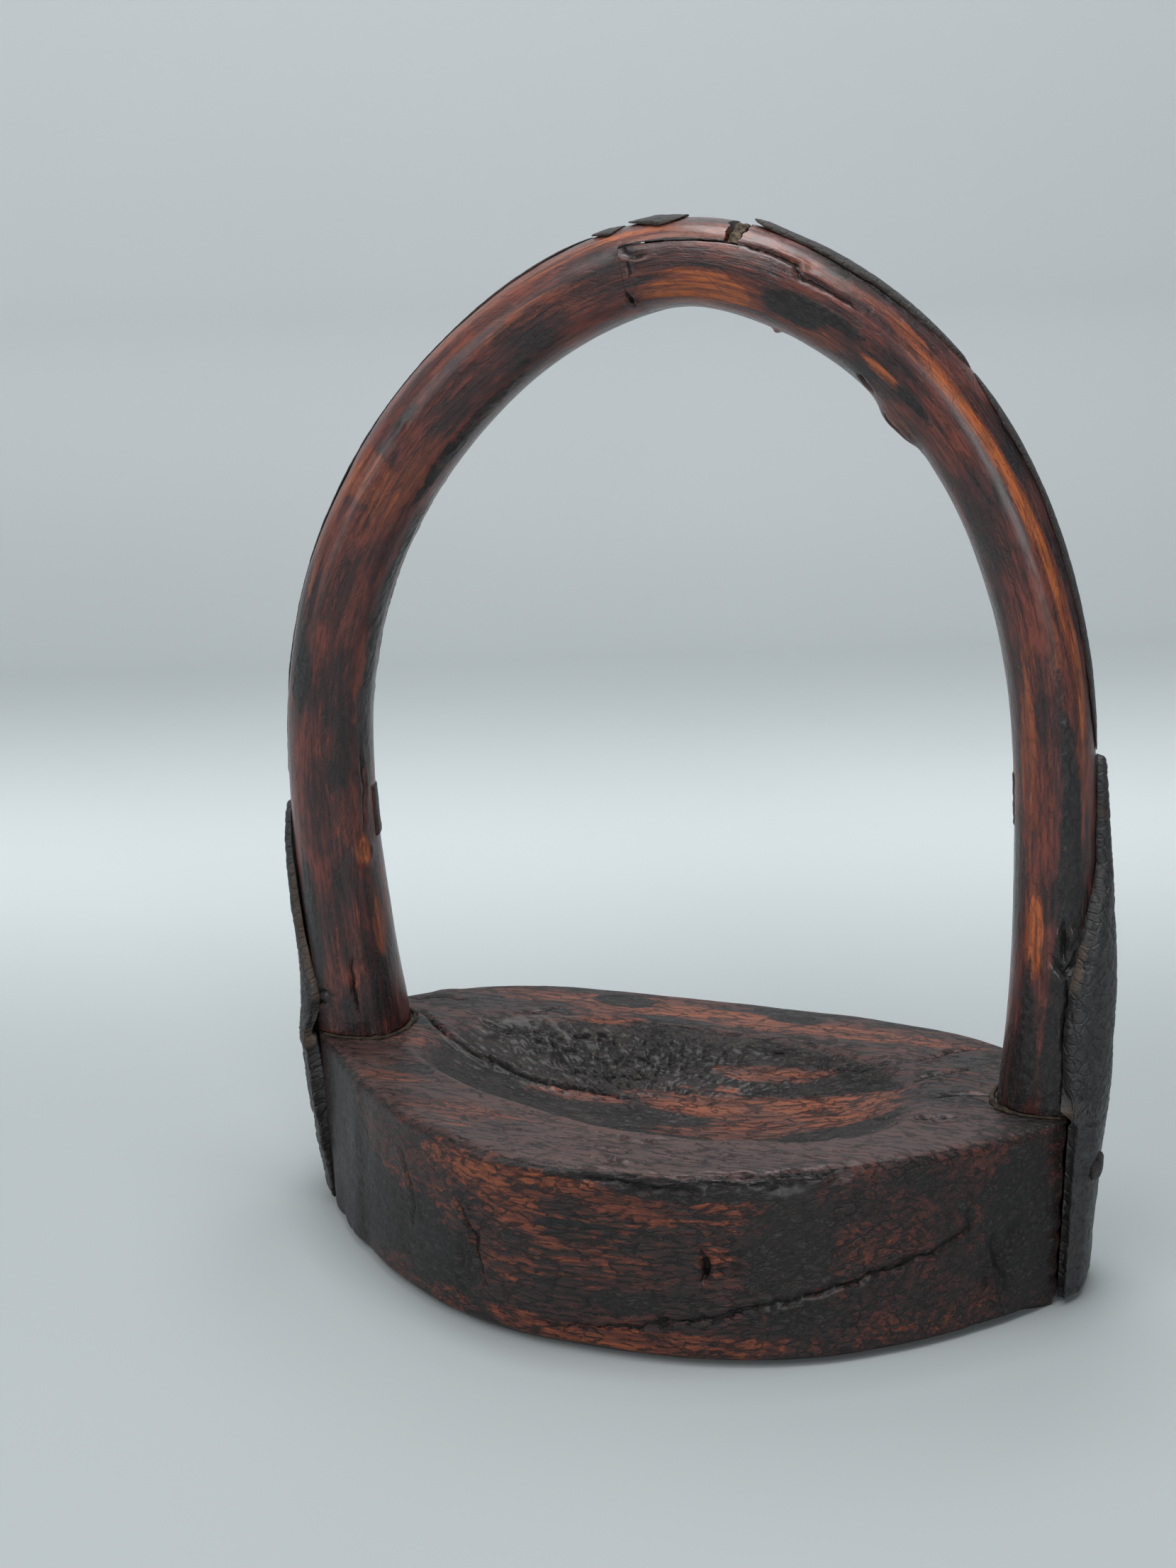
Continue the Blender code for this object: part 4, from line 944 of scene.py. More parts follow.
def tread_relief(grid, top, wall, front, crust, dist, width, depth):
    """Height of the worn, fibrous and crusted surface over the plain block, in mm."""
    x, y, z = grid[..., 0], grid[..., 1], grid[..., 2]
    reach = dish_reach(grid[..., :2])
    fibres = fractal(grid * [0.05, 0.8, 0.8], 3, 21)
    rolling = fractal(grid / 22.0, 2, 31)
    lumps = fractal(grid / 5.0, 3, 41)
    bark = cell_walls(grid / [5.2, 3.2, 3.2] + 0.20 * lumps[..., None], 5)
    fine_bark = cell_walls(grid / [2.6, 1.7, 1.7] + 0.20 * lumps[..., None], 6)
    crusted = smooth((crust + 0.5 * lumps - 0.25) / 0.4)
    height = 0.28 * rolling + 0.07 * lumps + 0.075 * fibres
    height += crusted * (0.10 * smooth(fine_bark / 0.25) - 0.05)
    # plates of crust in the dish, at uneven heights
    in_dish = smooth((0.98 - reach) / 0.12) * top
    flaking = mix(0.35, 1.0, np.clip(spots(x, y, FLAKING), 0, 1))
    tilted = noise(grid / [5.2, 3.2, 3.2], 91)
    plates = 0.62 * smooth(bark / 0.10) + 0.14 * smooth(fine_bark / 0.14) + 0.22 * tilted - 0.7
    height += in_dish * crusted * plates * flaking
    height += in_dish * 0.16 * fractal(grid * [0.16, 0.9, 0.3], 2, 51)
    # the near rim of the dish stands up in a low crest
    crest = bell(reach - 1.03, 0.03) * top * smooth((4.0 - y) / 10.0)
    height += 0.42 * crest * (0.75 + 0.5 * lumps)
    # cracks, with lips that stand slightly proud
    height += groove(dist, width, depth)
    height += 0.35 * depth * bell(np.abs(dist) - width - 0.9, 0.7) * (depth > 0)
    # splintered front edge
    chipped = bell(np.abs(z - (TREAD_H - 1.2)), 2.0) * (y < 0) * spots(x, 0 * x, SPLINTERED)
    height -= chipped * (0.9 * ridges(grid * [0.10, 0.5, 0.8], 3, 61) - 0.1)
    # adze marks on the left end, scars on the front
    facets = bell(x + 58, 12.0) * wall
    height += facets * 0.5 * noise(np.stack([y / 3.6, y * 0 + 2.0, z / 26.0], -1), 71)
    for cx, cz, lx, lz in SCARS:
        scar = np.exp(-((x - cx - 0.3 * (z - cz)) / lx) ** 2 - ((z - cz) / lz) ** 2) * front
        height -= scar * (0.25 + 0.7 * ridges(grid * [0.9, 0.2, 0.35], 2, 81))
    # the front right corner is chewed
    corner = bell(x - END_TOP_X[1], 1.6) * wall * (y < 6.0)
    height -= corner * (0.25 + 0.6 * fractal(np.stack([0 * x, 0 * y + 5.0, z * 0.6], -1), 4, 77))
    return np.where(wall, height * mix(0.3, 1.0, smooth(z / 1.5)), height)


def tread_block():
    grid, top_row = tread_grid()
    rows, cols = grid.shape[:2]
    areas = tread_areas(rows, cols, top_row)
    base, top, wall, front, _ = areas
    worn, crust, *crack = tread_wear(grid, *areas)
    height = tread_relief(grid, top, wall, front, crust, *crack) * ~base
    normal = np.cross(np.roll(grid, -1, 1) - np.roll(grid, 1, 1), np.gradient(grid, axis=0))
    normal /= np.maximum(1e-9, np.linalg.norm(normal, axis=-1, keepdims=True))
    points = grid + normal * height[..., None]
    points[..., 2] = np.clip(points[..., 2], 0.0, None)
    points[base, 2] = 0.0
    points[BASE_ROWS, :, 2] = 0.0

    # the near rim has a calmer film than the rest, painted paler there as a painted sheen of
    # reflected light
    near = smooth((dish_reach(grid[..., :2]) - 0.97) / 0.05) * smooth((6.0 - grid[..., 1]) / 10.0)
    calm_and_sheen = top * near * (1.0 - 0.6 * np.clip(worn, 0.0, 1.0))
    fields = {"grain": grid, "worn": worn, "crust": crust, "crack_d": crack[0],
              "crack_w": crack[1], "calm_and_sheen": calm_and_sheen}
    return piece("tread", points, tube_faces(rows, cols), TREAD_LACQUER,
                 ["tread_block"], fields)


# ---- bow halves --------------------------------------------------------------------------------
BOW_RING, BOW_CORNER, BOW_STEP = 128, 24, 0.5

BOW_WORN = [  # arc length, degrees from outward (front is -90), half length, half width, amount
    # left half
    (178, -38, 12, 15, 0.75), (156, -30, 18, 15, 0.7), (182, -116, 9.5, 24, 1.8),
    (134, -28, 14, 14, 0.45), (152, -82, 16, 12, 0.5), (140, -60, 14, 12, 0.35),
    (122, -118, 14, 12, 0.4),
    (109, -80, 5, 52, 0.75), (97, -46, 11, 12, 0.65), (84, -56, 8, 9, 0.5), (98, -100, 7, 14, 0.35),
    (65, -146, 5, 12, 0.5), (48, -112, 12, 16, 0.35), (36, -150, 3.2, 11, 1.3),
    (20, -160, 7, 13, 0.75), (27, -128, 6, 10, 0.2), (11, -118, 8, 22, 0.4), (58, -96, 6, 8, 0.15),
    # right half
    (213, -42, 7, 9, 0.7), (222, -56, 8, 12, 0.8), (235, -56, 11, 12, 1.05),
    (249, -50, 10, 11, 1.15), (262, -42, 10, 10, 1.1), (276, -36, 10, 9, 0.8),
    (291, -42, 12, 9, 0.65), (273, -104, 9, 13, 0.4),
    (287, -118, 12, 16, 0.65), (303, -125, 12, 15, 0.35), (217, -106, 4.5, 7, 1.35),
    (319, -110, 6.5, 13, 2.1), (336, -125, 8, 12, 0.15), (205, -121, 6, 12, 0.6),
    (201, -48, 10, 13, 0.5), (214, -84, 7, 8, 0.35), (228, -140, 8, 14, 0.4),
    (292, -88, 10, 8, 0.35), (270, -66, 7, 9, 0.5),
    # the back of both, which is worn in the same way
    (60, 110, 16, 24, 0.6), (110, 80, 9, 40, 0.7), (150, 60, 20, 22, 0.6), (182, 120, 10, 26, 0.9),
    (215, 50, 14, 16, 0.7), (245, 80, 18, 18, 0.8), (290, 110, 18, 22, 0.6), (325, 120, 9, 16, 0.8),
    (25, 140, 10, 18, 0.6)]
BOW_CRUST = [
    (70, -66, 7, 20, 0.9), (84, -88, 4, 10, 0.35), (121, -72, 5, 9, 0.55), (23, -62, 14, 15, 1.0),
    (80, -172, 34, 16, 0.8), (128, -148, 22, 12, 0.65), (148, -128, 9, 9, 0.5),
    (160, -62, 8, 7, 0.35), (199, -104, 6, 20, 1.0), (207, -90, 5, 9, 0.8),
    (224, -104, 4.5, 8, 0.9), (341, -70, 20, 20, 1.3), (338, -112, 10, 14, 0.5),
    (329, -122, 8, 12, 0.5), (312, -60, 14, 18, 1.1), (298, -58, 14, 14, 0.8),
    (280, -66, 9, 8, 0.55), (170.5, -66, 1.6, 14, 0.45), (168.5, -128, 1.6, 10, 0.5),
    (5, -80, 6, 60, 0.5), (344, -105, 7, 9, 0.6),
    (90, 150, 30, 24, 0.7), (30, 80, 16, 24, 0.8), (130, 110, 12, 20, 0.6), (200, 90, 10, 26, 0.8),
    (230, 120, 9, 16, 0.6), (270, 60, 12, 18, 0.6), (335, 70, 18, 30, 1.0)]
BOW_CRACKS = [  # arc length against distance round the section in mm, front is below zero
    ([(168.8, -6.9), (175, -7.1), (181, -6.9), (187, -6.9)], 0.22, 0.25),
    ([(186.5, -6.9), (192.4, -6.7), (196.4, -6.9), (197.6, -8.4), (203, -8.1), (208.5, -8.1)],
     0.20, 0.7),
    ([(169.2, -6.4), (169.6, -8.2), (171.2, -9.4), (173.2, -9.2)], 0.20, 0.6),
    ([(170, -9.5), (169.6, -12.5)], 0.12, 0.3), ([(168.2, -14.8), (168.8, -17.2)], 0.3, 0.8),
    ([(316, -8.6), (320, -8.2), (323.5, -8.4)], 0.30, 1.0),
    ([(322.5, -10.4), (324.4, -9.2), (325.4, -8.2), (323.8, -6.8), (321.6, -6.4)], 0.26, 0.8),
    ([(325.6, -8.2), (329, -7.7), (336, -8.2), (344, -8.3), (351.5, -8.6)], 0.20, 0.8),
    ([(4.6, -6.5), (6.6, -9.0), (6.2, -11.4)], 0.20, 0.6),
    ([(8.4, -8), (9, -11), (8.2, -13)], 0.18, 0.5),
    ([(16, -17.0), (10, -16.4), (4, -16.8)], 0.20, 0.6),
    ([(57, -22), (48, -23), (40, -22)], 0.18, 0.5),
    ([(222, -19), (226, -19.4), (231, -20)], 0.3, 0.9), ([(214, -17), (218, -18)], 0.22, 0.6)]


def ring_angles(corner, ring, steps):
    """Ring angles with a point steps either side of outward at the given corner angle."""
    half = np.interp(np.arange(ring // 2 + 1), [0, steps, ring // 2], [0.0, corner, math.pi])
    return np.concatenate([half, -half[-2:0:-1]])


def corner_angle(s, level):
    """Angle at which the section's outward offset falls to level."""
    angles = np.linspace(0.0, math.pi / 2, 300)
    return float(np.interp(-level, -section(s, angles)[0], angles))


def lap_level(s):
    """Height of the wavering lap joint above the centre line."""
    p = np.array([s * 0.16, 3.3, 1.7])
    return LAP_OFF + 0.35 * float(fractal(p[None, :], 3, 15)[0])


def bow_row(s, keep=None):
    """One ring as (angle, outward, sideways, on the skin). keep is 'outer' or 'inner' of the lap,
    or 'tongue' beside the tread."""
    side_no = 0 if s < BOW_LEN / 2 else 1
    foot = 1.0 - smooth(min(max(0.0, s), max(0.0, BOW_LEN - s)) / FOOT_LEN)
    level = None
    if keep == 'tongue':
        c, _ = frames_at(s)
        level = abs(end_x(side_no, c[1]) - c[0]) + GAP
    elif keep:
        level = lap_level(s) + (GAP / 2 if keep == 'outer' else -GAP / 2)
    if level is not None:
        corner = corner_angle(s, level)
    elif foot > 0:
        c, _ = frames_at(s)
        corner = mix(math.radians(60), corner_angle(s, abs(END_TOP_X[side_no] - c[0]) + GAP), foot)
    else:
        lap = 1.0 - smooth(min(abs(s - q) for q in LAP_S) / 14.0)
        corner = mix(math.radians(60), corner_angle(s, lap_level(s)), lap)
    phi = ring_angles(corner, BOW_RING, BOW_CORNER)
    on_skin = np.ones(BOW_RING)
    out, side = section(s, phi)
    if level is not None:
        k = np.arange(BOW_RING)
        away = np.minimum(k, BOW_RING - k)
        sign = np.where(k < BOW_RING / 2, 1.0, -1.0)
        edge = float(section(s, corner)[1])
        if keep == 'inner':
            chord, t = away <= BOW_CORNER, away / BOW_CORNER
        else:
            chord = away >= BOW_CORNER
            t = 1.0 - (away - BOW_CORNER) / (BOW_RING / 2 - BOW_CORNER)
        out = np.where(chord, level, out)
        side = np.where(chord, sign * edge * t, side)
        on_skin = np.where(chord, 0.0, smooth(np.abs(np.abs(phi) - corner) / 0.10))
    return phi, out, side, on_skin


def bow_relief(s, phi, grain, crust, dist, width, depth):
    """Height of the bow's surface over its smooth section, in mm."""
    h = 0.22 * fractal(grain * [0.05, 0.10, 0.10], 2, 101)
    h += 0.05 * fractal(grain * [0.22, 0.30, 0.30], 3, 111)
    h += 0.030 * fractal(grain * [0.06, 1.0, 1.0], 2, 121)
    lumps = fractal(grain * [0.45, 0.55, 0.55], 3, 131)
    crusted = smooth((crust + 0.5 * lumps - 0.35) / 0.4)
    walls = cell_walls(grain * [0.55, 0.75, 0.75] + 0.4 * lumps[..., None], 7)
    h += crusted * (0.16 * smooth(walls / 0.3) - 0.08 + 0.08 * lumps)
    h += groove(dist, width, depth, 0.3)
    h += 0.3 * depth * bell(np.abs(dist) - width - 0.7, 0.6)
    deg = np.degrees(phi)
    # a healed scar low on the right leg, and a small ring low on the left leg
    r = np.hypot((s - SCAR_AT[0]) / 3.6, (deg - SCAR_AT[1]) / 24.0)
    h += -0.55 * bell(r, 0.75) + 0.40 * bell(r - 1.15, 0.32)
    r = np.hypot((s - RING_AT[0]) / 2.6, (deg - RING_AT[1]) / 17.0)
    h += 0.22 * bell(r - 0.8, 0.3) - 0.12 * bell(r, 0.5)
    # on the inner face, a torn lip round the swelling and a nib under the crown
    turn = np.abs((deg + 360) % 360 - 180)
    r = np.hypot((s - KNOT_S - 1.0) / 4.5, (turn - 10) / 46.0)
    h += 0.22 * bell(r - 0.75, 0.3) * (0.6 + 0.4 * lumps) - 0.15 * bell(r, 0.4)
    r = np.hypot(s - NIB_S, (turn - 6) / 8.0)
    h += 0.55 * np.exp(-(r / 0.8) ** 4)
    stepped = smooth(s - CUT_FROM) * smooth((CUT_TO - s) / 6.0) * smooth((-deg - 70) / 20.0)
    return h - 0.16 * stepped


def bow_half(side):
    s_a, s_b = LAP_S
    plan = []

    def run(a, b, keep=None, step=BOW_STEP):
        n = max(1, round(abs(b - a) / step))
        plan.extend((s, keep) for s in np.linspace(a, b, n + 1))

    if side == 0:
        run(TONGUE_END - TREAD_H, GAP, 'tongue', 1.0)
        run(GAP, s_a - SEAM)
        run(s_a - SEAM, s_b, 'outer')
        name = "bow_left"
    else:
        start = s_b + FILL_W + 2 * GAP
        run(s_a, start, 'inner')
        run(start, BOW_LEN - GAP)
        run(BOW_LEN - GAP, BOW_LEN + TREAD_H - TONGUE_END, 'tongue', 1.0)
        name = "bow_right"
    rows = [bow_row(s, keep) for s, keep in plan]
    phi, out, sideways, on_skin = (np.array([r[k] for r in rows]) for k in range(4))
    s = np.array([p[0] for p in plan])[:, None] + 0.0 * phi
    grain = bow_grain(s, out, sideways)
    radius = bow_radius(s)
    deg = np.degrees(phi)
    worn, crust = spots(s, deg, BOW_WORN), np.clip(spots(s, deg, BOW_CRUST), 0, 1.3)
    jag = 0.5 * fractal(grain * 0.5, 3, 141)
    dist, width, depth = cracks(s + jag, phi * radius + 0.7 * jag, BOW_CRACKS)
    height = bow_relief(s, phi, grain, crust, dist, width, depth) * on_skin
    deeper = section(s, phi, height)
    out = np.where(on_skin > 0, deeper[0], out)
    sideways = np.where(on_skin > 0, deeper[1], sideways)
    brink = LAP_S[1] if side == 0 else LAP_S[1] + FILL_W + 2 * GAP
    near_gap = np.exp(-np.abs(s - brink) / 0.9) * smooth((out - LAP_OFF + 0.6) / 0.8)
    torn = fractal(line(phi * 4.5, 7.0 * side), 4, 151)
    jagged = near_gap * (-0.25 + 0.8 * torn if side == 0 else 0.1 + 0.9 * torn)
    points = place(s + jagged, out, sideways)
    # the strap has worn the underside of the crown a little flat
    worn_by = 0.5 * bell(s - 0.5 * sum(LAP_S), 9.0) * (out < -4.0)
    points[..., 2] += worn_by * smooth((-out - 4.0) / 3.0)
    fields = {"grain": grain, "worn": worn, "crust": crust, "crack_d": dist, "crack_w": width}
    return piece(name + "_wood", points, tube_faces(len(plan), BOW_RING), BOW_LACQUER,
                 [name], fields)


# ---- hide --------------------------------------------------------------------------------------
CHEEK_FRONT = (  # front edge of each cheek: height, degrees from outward towards the front
    [(0, 42), (34.9, 44), (36.5, 50), (42, 62), (45, 57), (48, 49), (55, 38), (66, 30), (79, 17)],
    [(0, 42), (34.9, 46), (36.6, 66), (47, 66), (57, 62), (66, 48), (72, 32), (79, 6), (90, 1),
     (97, -2)])
CHEEK_REAR = (   # rear edge
    [(0, 42), (34.9, 45), (36.5, 50), (50, 46), (62, 32), (79, 12)],
    [(0, 42), (34.9, 46), (36.6, 70), (54, 64), (65, 54), (79, 40), (90, 34), (97, 22)])


def hide_sheet(name, node, mat, ss, front, rear, off, thick, seed, cols=64, ragged=1.2,
               raw=None, wrinkle=0.22, blunt=None, hug=None):
    """Sheet of hide over the outer face: front, rear, off, thick and blunt hold one value per
    row; hug moves the finished points."""
    rows = len(ss)
    u = np.linspace(-1.0, 1.0, cols + 1)[None, :]
    s = np.asarray(ss)[:, None] + 0 * u
    front, rear, off, thick = (np.asarray(v, float)[:, None] for v in (front, rear, off, thick))
    wave = ragged * fractal(line(s * 0.22, 2.5), 4, seed)
    wave_r = ragged * fractal(line(s * 0.22, 7.5), 4, seed + 40)
    left, right = -front + 3.0 * wave, rear + 3.0 * wave_r
    phi = np.radians(mix(left, right, (u + 1) / 2))
    radius = bow_radius(s) + off
    half = np.radians(right - left) / 2 * radius
    from_side = (1 - np.abs(u)) * half
    reach = np.minimum(from_side, np.minimum(s - ss[0], ss[-1] - s))
    blunt = np.full(rows, 0.9) if blunt is None else blunt
    lip = np.clip(reach / np.maximum(0.25, blunt[:, None] * thick), 0.0, 1.0)
    grain = np.stack([s, radius * np.cos(phi), radius * np.sin(phi)], -1)
    crumple = wrinkle * (0.7 * fractal(grain * [0.16, 0.22, 0.22], 3, seed + 3)
                         - 0.7 * (1 - ridges(grain * [0.20, 0.38, 0.38], 3, seed + 5)) ** 2)
    crumple += wrinkle * 0.5 * (smooth(cell_walls(grain * [0.7, 0.8, 0.8], seed + 8) / 0.3) - 0.7)
    top = off + thick * mix(0.12, 1.0, rounded(lip)) + crumple * mix(0.2, 1.0, lip)
    inner = skin(s, phi, off + 0.0 * phi)
    outer = skin(s, phi, np.maximum(top, off + 0.12))
    if hug is not None:
        inner, outer = hug(inner, outer, u)
    points, faces = slab(inner, outer)
    edge = np.clip(1.0 - from_side / 1.0, 0, 1) * (u < 0)
    if raw is not None:
        edge = edge * np.asarray(raw, float)[:, None]
    edge = np.concatenate([edge * 0.8, edge])
    grain = np.concatenate([grain, grain + [0.0, 0.0, 0.4]])
    return piece(name, points, faces, mat, [node], {"grain": grain, "edge": edge})


def cheek(side):
    word = SIDES[side]
    foot, top = arc_at_z(CHEEK_BASE, side), arc_at_z(CHEEK_TOP[side], side)
    ss = np.sort(np.linspace(foot, top, 190))
    heights = np.where((ss >= 0) & (ss <= BOW_LEN), path_at(np.clip(ss, 0, BOW_LEN))[..., 1],
                       TREAD_H + np.where(ss < 0, ss, BOW_LEN - ss))
    front, rear = table(CHEEK_FRONT[side], heights), table(CHEEK_REAR[side], heights)
    tip = rounded(np.minimum(1.0, (CHEEK_TOP[side] - heights) / CHEEK_TIP))
    front, rear = mid_pinch(front, rear, tip)
    thick = table(CHEEK_T[side], heights)
    raw = spots(heights, 0 * heights, [(54, 0, 14, 1, 1.0), (34, 0, 2, 1, 0.9)]
                if side == 0 else [(62, 0, 5, 1, 0.9), (36, 0, 1.5, 1, 0.9)])
    off = np.where(heights > TREAD_H, 0.08, GAP)
    if side == 0:
        off = off + 0.5 * smooth((heights - CHEEK_TOP[side] + 34) / 12.0) * smooth(
            (CHEEK_TOP[side] - heights) / 8.0)
    broad = smooth((TREAD_H + 5.0 - heights) / 5.0)[:, None]
    below = smooth((TREAD_H + 0.2 - heights) / 0.9)[:, None]
    settled = smooth((TREAD_H + 8.0 - heights) / 9.0)[:, None]
    outwards = (-1.0, 1.0)[side]
    frayed = 0.10 * fractal(np.stack([heights * 0.4, 0 * heights, 0 * heights + side], -1), 4, 205)

    def hug(inner, outer, u):
        """Draws the sheet flat against the end of the tread, out to both of its corners."""
        stretch = np.where(u < 0, (1.38, 1.44)[side], 1.34) + frayed[:, None] * (u < 0)
        near_edge = smooth((np.abs(u) - 0.45) / 0.45)
        plane = end_x(side, np.minimum(heights, TREAD_H))[:, None] + 0.12 * outwards
        for sheet, least, share in ((inner, 0.0, below), (outer, 0.9, settled)):
            sheet[..., 1] = BOW_Y + (sheet[..., 1] - BOW_Y) * mix(1.0, stretch, broad)
            flat = plane + least * outwards
            if least:
                flat = flat + outwards * np.abs(sheet[..., 0] - flat) * 0.45
            sheet[..., 0] = mix(sheet[..., 0], flat, near_edge * share)
        return inner, outer

    return hide_sheet(f"cheek_{word}_hide", f"cheek_{word}", CHEEK_HIDE, ss, front,
                      rear, off, thick, 200 + 50 * side, cols=72, raw=raw, wrinkle=0.30,
                      blunt=mix(0.8, 0.35, smooth((46.0 - heights) / 10.0)), hug=hug)


def mid_pinch(front, rear, tip):
    """Rounds off the end of a strip by drawing both edges in towards their middle."""
    mid = (rear - front) / 2
    half = (rear + front) / 2
    return half * tip - mid, half * tip + mid


def strip(name, s0, s1, half, seed, lift0=0.0, lift1=0.0, tip_len=5.0, centre=0.0,
          thickness=0.7, first_tip=5.0):
    """Thin ragged strip from s0 to s1 along the outside; lift0 and lift1 raise its ends."""
    ss = np.linspace(s0, s1, int(max(24, (s1 - s0) / 0.6)))
    from_end = np.minimum(ss - s0, s1 - ss)
    off = (0.06 + lift0 * np.clip(1 - (ss - s0) / 7.0, 0, 1) ** 2
           + lift1 * np.clip(1 - (s1 - ss) / 7.0, 0, 1) ** 2)
    tip = np.clip(np.minimum((ss - s0) / first_tip, (s1 - ss) / tip_len), 0.0, 1.0) ** 0.6
    wide = half * (tip * 0.75 + 0.25)
    thick = STRIP_T * mix(0.25, thickness, np.clip(from_end / first_tip, 0.0, 1.0))
    return hide_sheet(name + "_hide", name, STRIP_HIDE, ss, wide - centre,
                      wide + centre, off, thick, seed, cols=34, ragged=2.4, wrinkle=0.10)


def strips():
    ends = [arc_at_x(x) for x in FLAKE_X]
    small, large, right = ends[0:2], ends[2:4], ends[4:6]
    strip("outer_strip_left", arc_at_z(CHEEK_TOP[0] + 1.0, 0), small[0] - 0.6, 24.0, 310,
          tip_len=9.0, centre=10.0, thickness=0.5)
    strip("crown_flake_small", *small, 30.0, 320, lift0=0.25, thickness=1.0, tip_len=2.5)
    strip("crown_flake_large", *large, 32.0, 330, lift0=0.5, lift1=0.3, thickness=1.3,
          tip_len=3.5)
    strip("crown_strip_right", *right, 23.0, 340, lift0=0.8, thickness=0.9, tip_len=12.0,
          centre=7.0, first_tip=2.0)
    strip("outer_strip_right", right[1] + 1.0, arc_at_z(CHEEK_TOP[1] + 1.0, 1), 21.0, 350,
          thickness=0.5, tip_len=9.0, centre=6.0)


# ---- putty, nails and slips ---------------------------------------------------------------------
def seat_putty(side):
    """Crumbling fillet on the tread round the inner side of one foot."""
    word = SIDES[side]
    s = GAP if side == 0 else BOW_LEN - GAP
    c, n = frames_at(s)
    n_round, n_cross = 150, 18
    t = np.linspace(0.0, 1.0, n_round + 1)[:, None]
    phi = np.radians(mix(68.0, 292.0, t))
    taper = np.minimum(1.0, 0.45 + 2.2 * np.minimum(t, 1 - t))
    q = np.linspace(0.0, math.pi / 2, n_cross - 2)
    wide = np.concatenate([[0.0], np.cos(q)])[None, :] * FILLET_W * taper
    high = np.concatenate([[0.0], np.sin(q)])[None, :] * FILLET_H * taper
    p = np.stack([phi * 7.0 + 0 * wide, wide * 1.5, high * 1.5], -1)
    lumps = fractal(p * 0.8, 4, 400 + side)
    gaps = smooth((noise(p * [0.5, 0.0, 0.0] + 3.3, 410 + side) + 0.75) / 0.4)
    wide = wide * (1.0 + 0.65 * lumps) * mix(0.45, 1.0, gaps)
    high = high * (1.0 + 0.75 * lumps) * mix(0.35, 1.0, gaps)
    out, off_side = section(s, phi, GAP + 0.20 + wide)
    points = np.stack([c[0] + n[0] * out, BOW_Y + off_side, TREAD_H + GAP * 0.4 + high], -1)
    return piece(f"seat_{word}_putty", points, tube_faces(*points.shape[:2]), PUTTY,
                 [f"seat_putty_{word}"], {"grain": p / 1.4})


def crown_filler():
    """Crumbled filler where the outer tongue of the lap stops short."""
    s_b = LAP_S[1]
    ss = np.linspace(s_b + GAP, s_b + GAP + FILL_W, 12)
    rows = [bow_row(s, 'outer') for s in ss]
    phi, out, sideways, on_skin = (np.array([r[k] for r in rows]) for k in range(4))
    s = ss[:, None] + 0 * phi
    grain = bow_grain(s, out, sideways)
    sunk = -0.35 + 0.7 * fractal(grain * 0.9, 4, 420)
    deep = section(s, phi, sunk)
    out, sideways = np.where(on_skin > 0, deep[0], out), np.where(on_skin > 0, deep[1], sideways)
    points = place(s, out, sideways)
    return piece("crown_putty", points, tube_faces(len(ss), BOW_RING), CROWN_PUTTY,
                 ["crown_filler"], {"grain": grain})


def cheek_stud(side):
    """Hand-made nail: an uneven domed head and its shank."""
    word = SIDES[side]
    s, phi = arc_at_z(STUD_Z, side), math.radians(STUD_PHI[side])
    off = GAP + float(table(CHEEK_T[side], STUD_Z))
    seat = skin(np.array(s), phi, off)
    along = skin(np.array(s + 0.5), phi, off) - seat
    around = skin(np.array(s), phi + 0.05, off) - seat
    axis = np.cross(around, along)
    axis /= np.linalg.norm(axis)
    c, _ = frames_at(np.array(s))
    if axis @ (seat - np.array([c[0], BOW_Y, c[1]])) < 0:
        axis = -axis
    seat = seat + axis * GAP
    u = np.cross(axis, (0.0, 1.0, 0.0))
    u /= np.linalg.norm(u)
    v = np.cross(axis, u)
    dome = np.linspace(0.05, 1.0, 22)
    profile = [(-8.5, 0.15), (-8.0, 0.45), (-4.0, 0.7), (-0.1, STUD_SHANK_R)]
    profile += [(-0.1, r) for r in np.linspace(STUD_SHANK_R, STUD_HEAD_R * 0.98, 9)[1:]]
    profile += [(0.15, STUD_HEAD_R)]
    profile += [(STUD_HEAD_H * math.sin(t * math.pi / 2), STUD_HEAD_R * math.cos(t * math.pi / 2))
                for t in dome[2:-1]]
    n = 64
    t = np.linspace(0, 2 * math.pi, n, endpoint=False)[None, :]
    h = np.array([p[0] for p in profile])[:, None]
    r = np.array([p[1] for p in profile])[:, None]
    ring = np.stack([r * np.cos(t) / 1.2, r * np.sin(t) / 1.2, h + 0 * t], -1)
    uneven = fractal(ring * 0.8, 3, 430 + side)
    r = r * (1.0 + 0.10 * uneven * (h > -0.2))
    h = h + 0.14 * uneven * (h > 0.1)
    points = (seat + axis * h[..., None] + u * (r * np.cos(t))[..., None]
              + v * (r * np.sin(t))[..., None])
    return piece(f"nail_{word}", points, tube_faces(len(profile), n), NAIL_IRON,
                 [f"cheek_stud_{word}"], {"grain": ring})


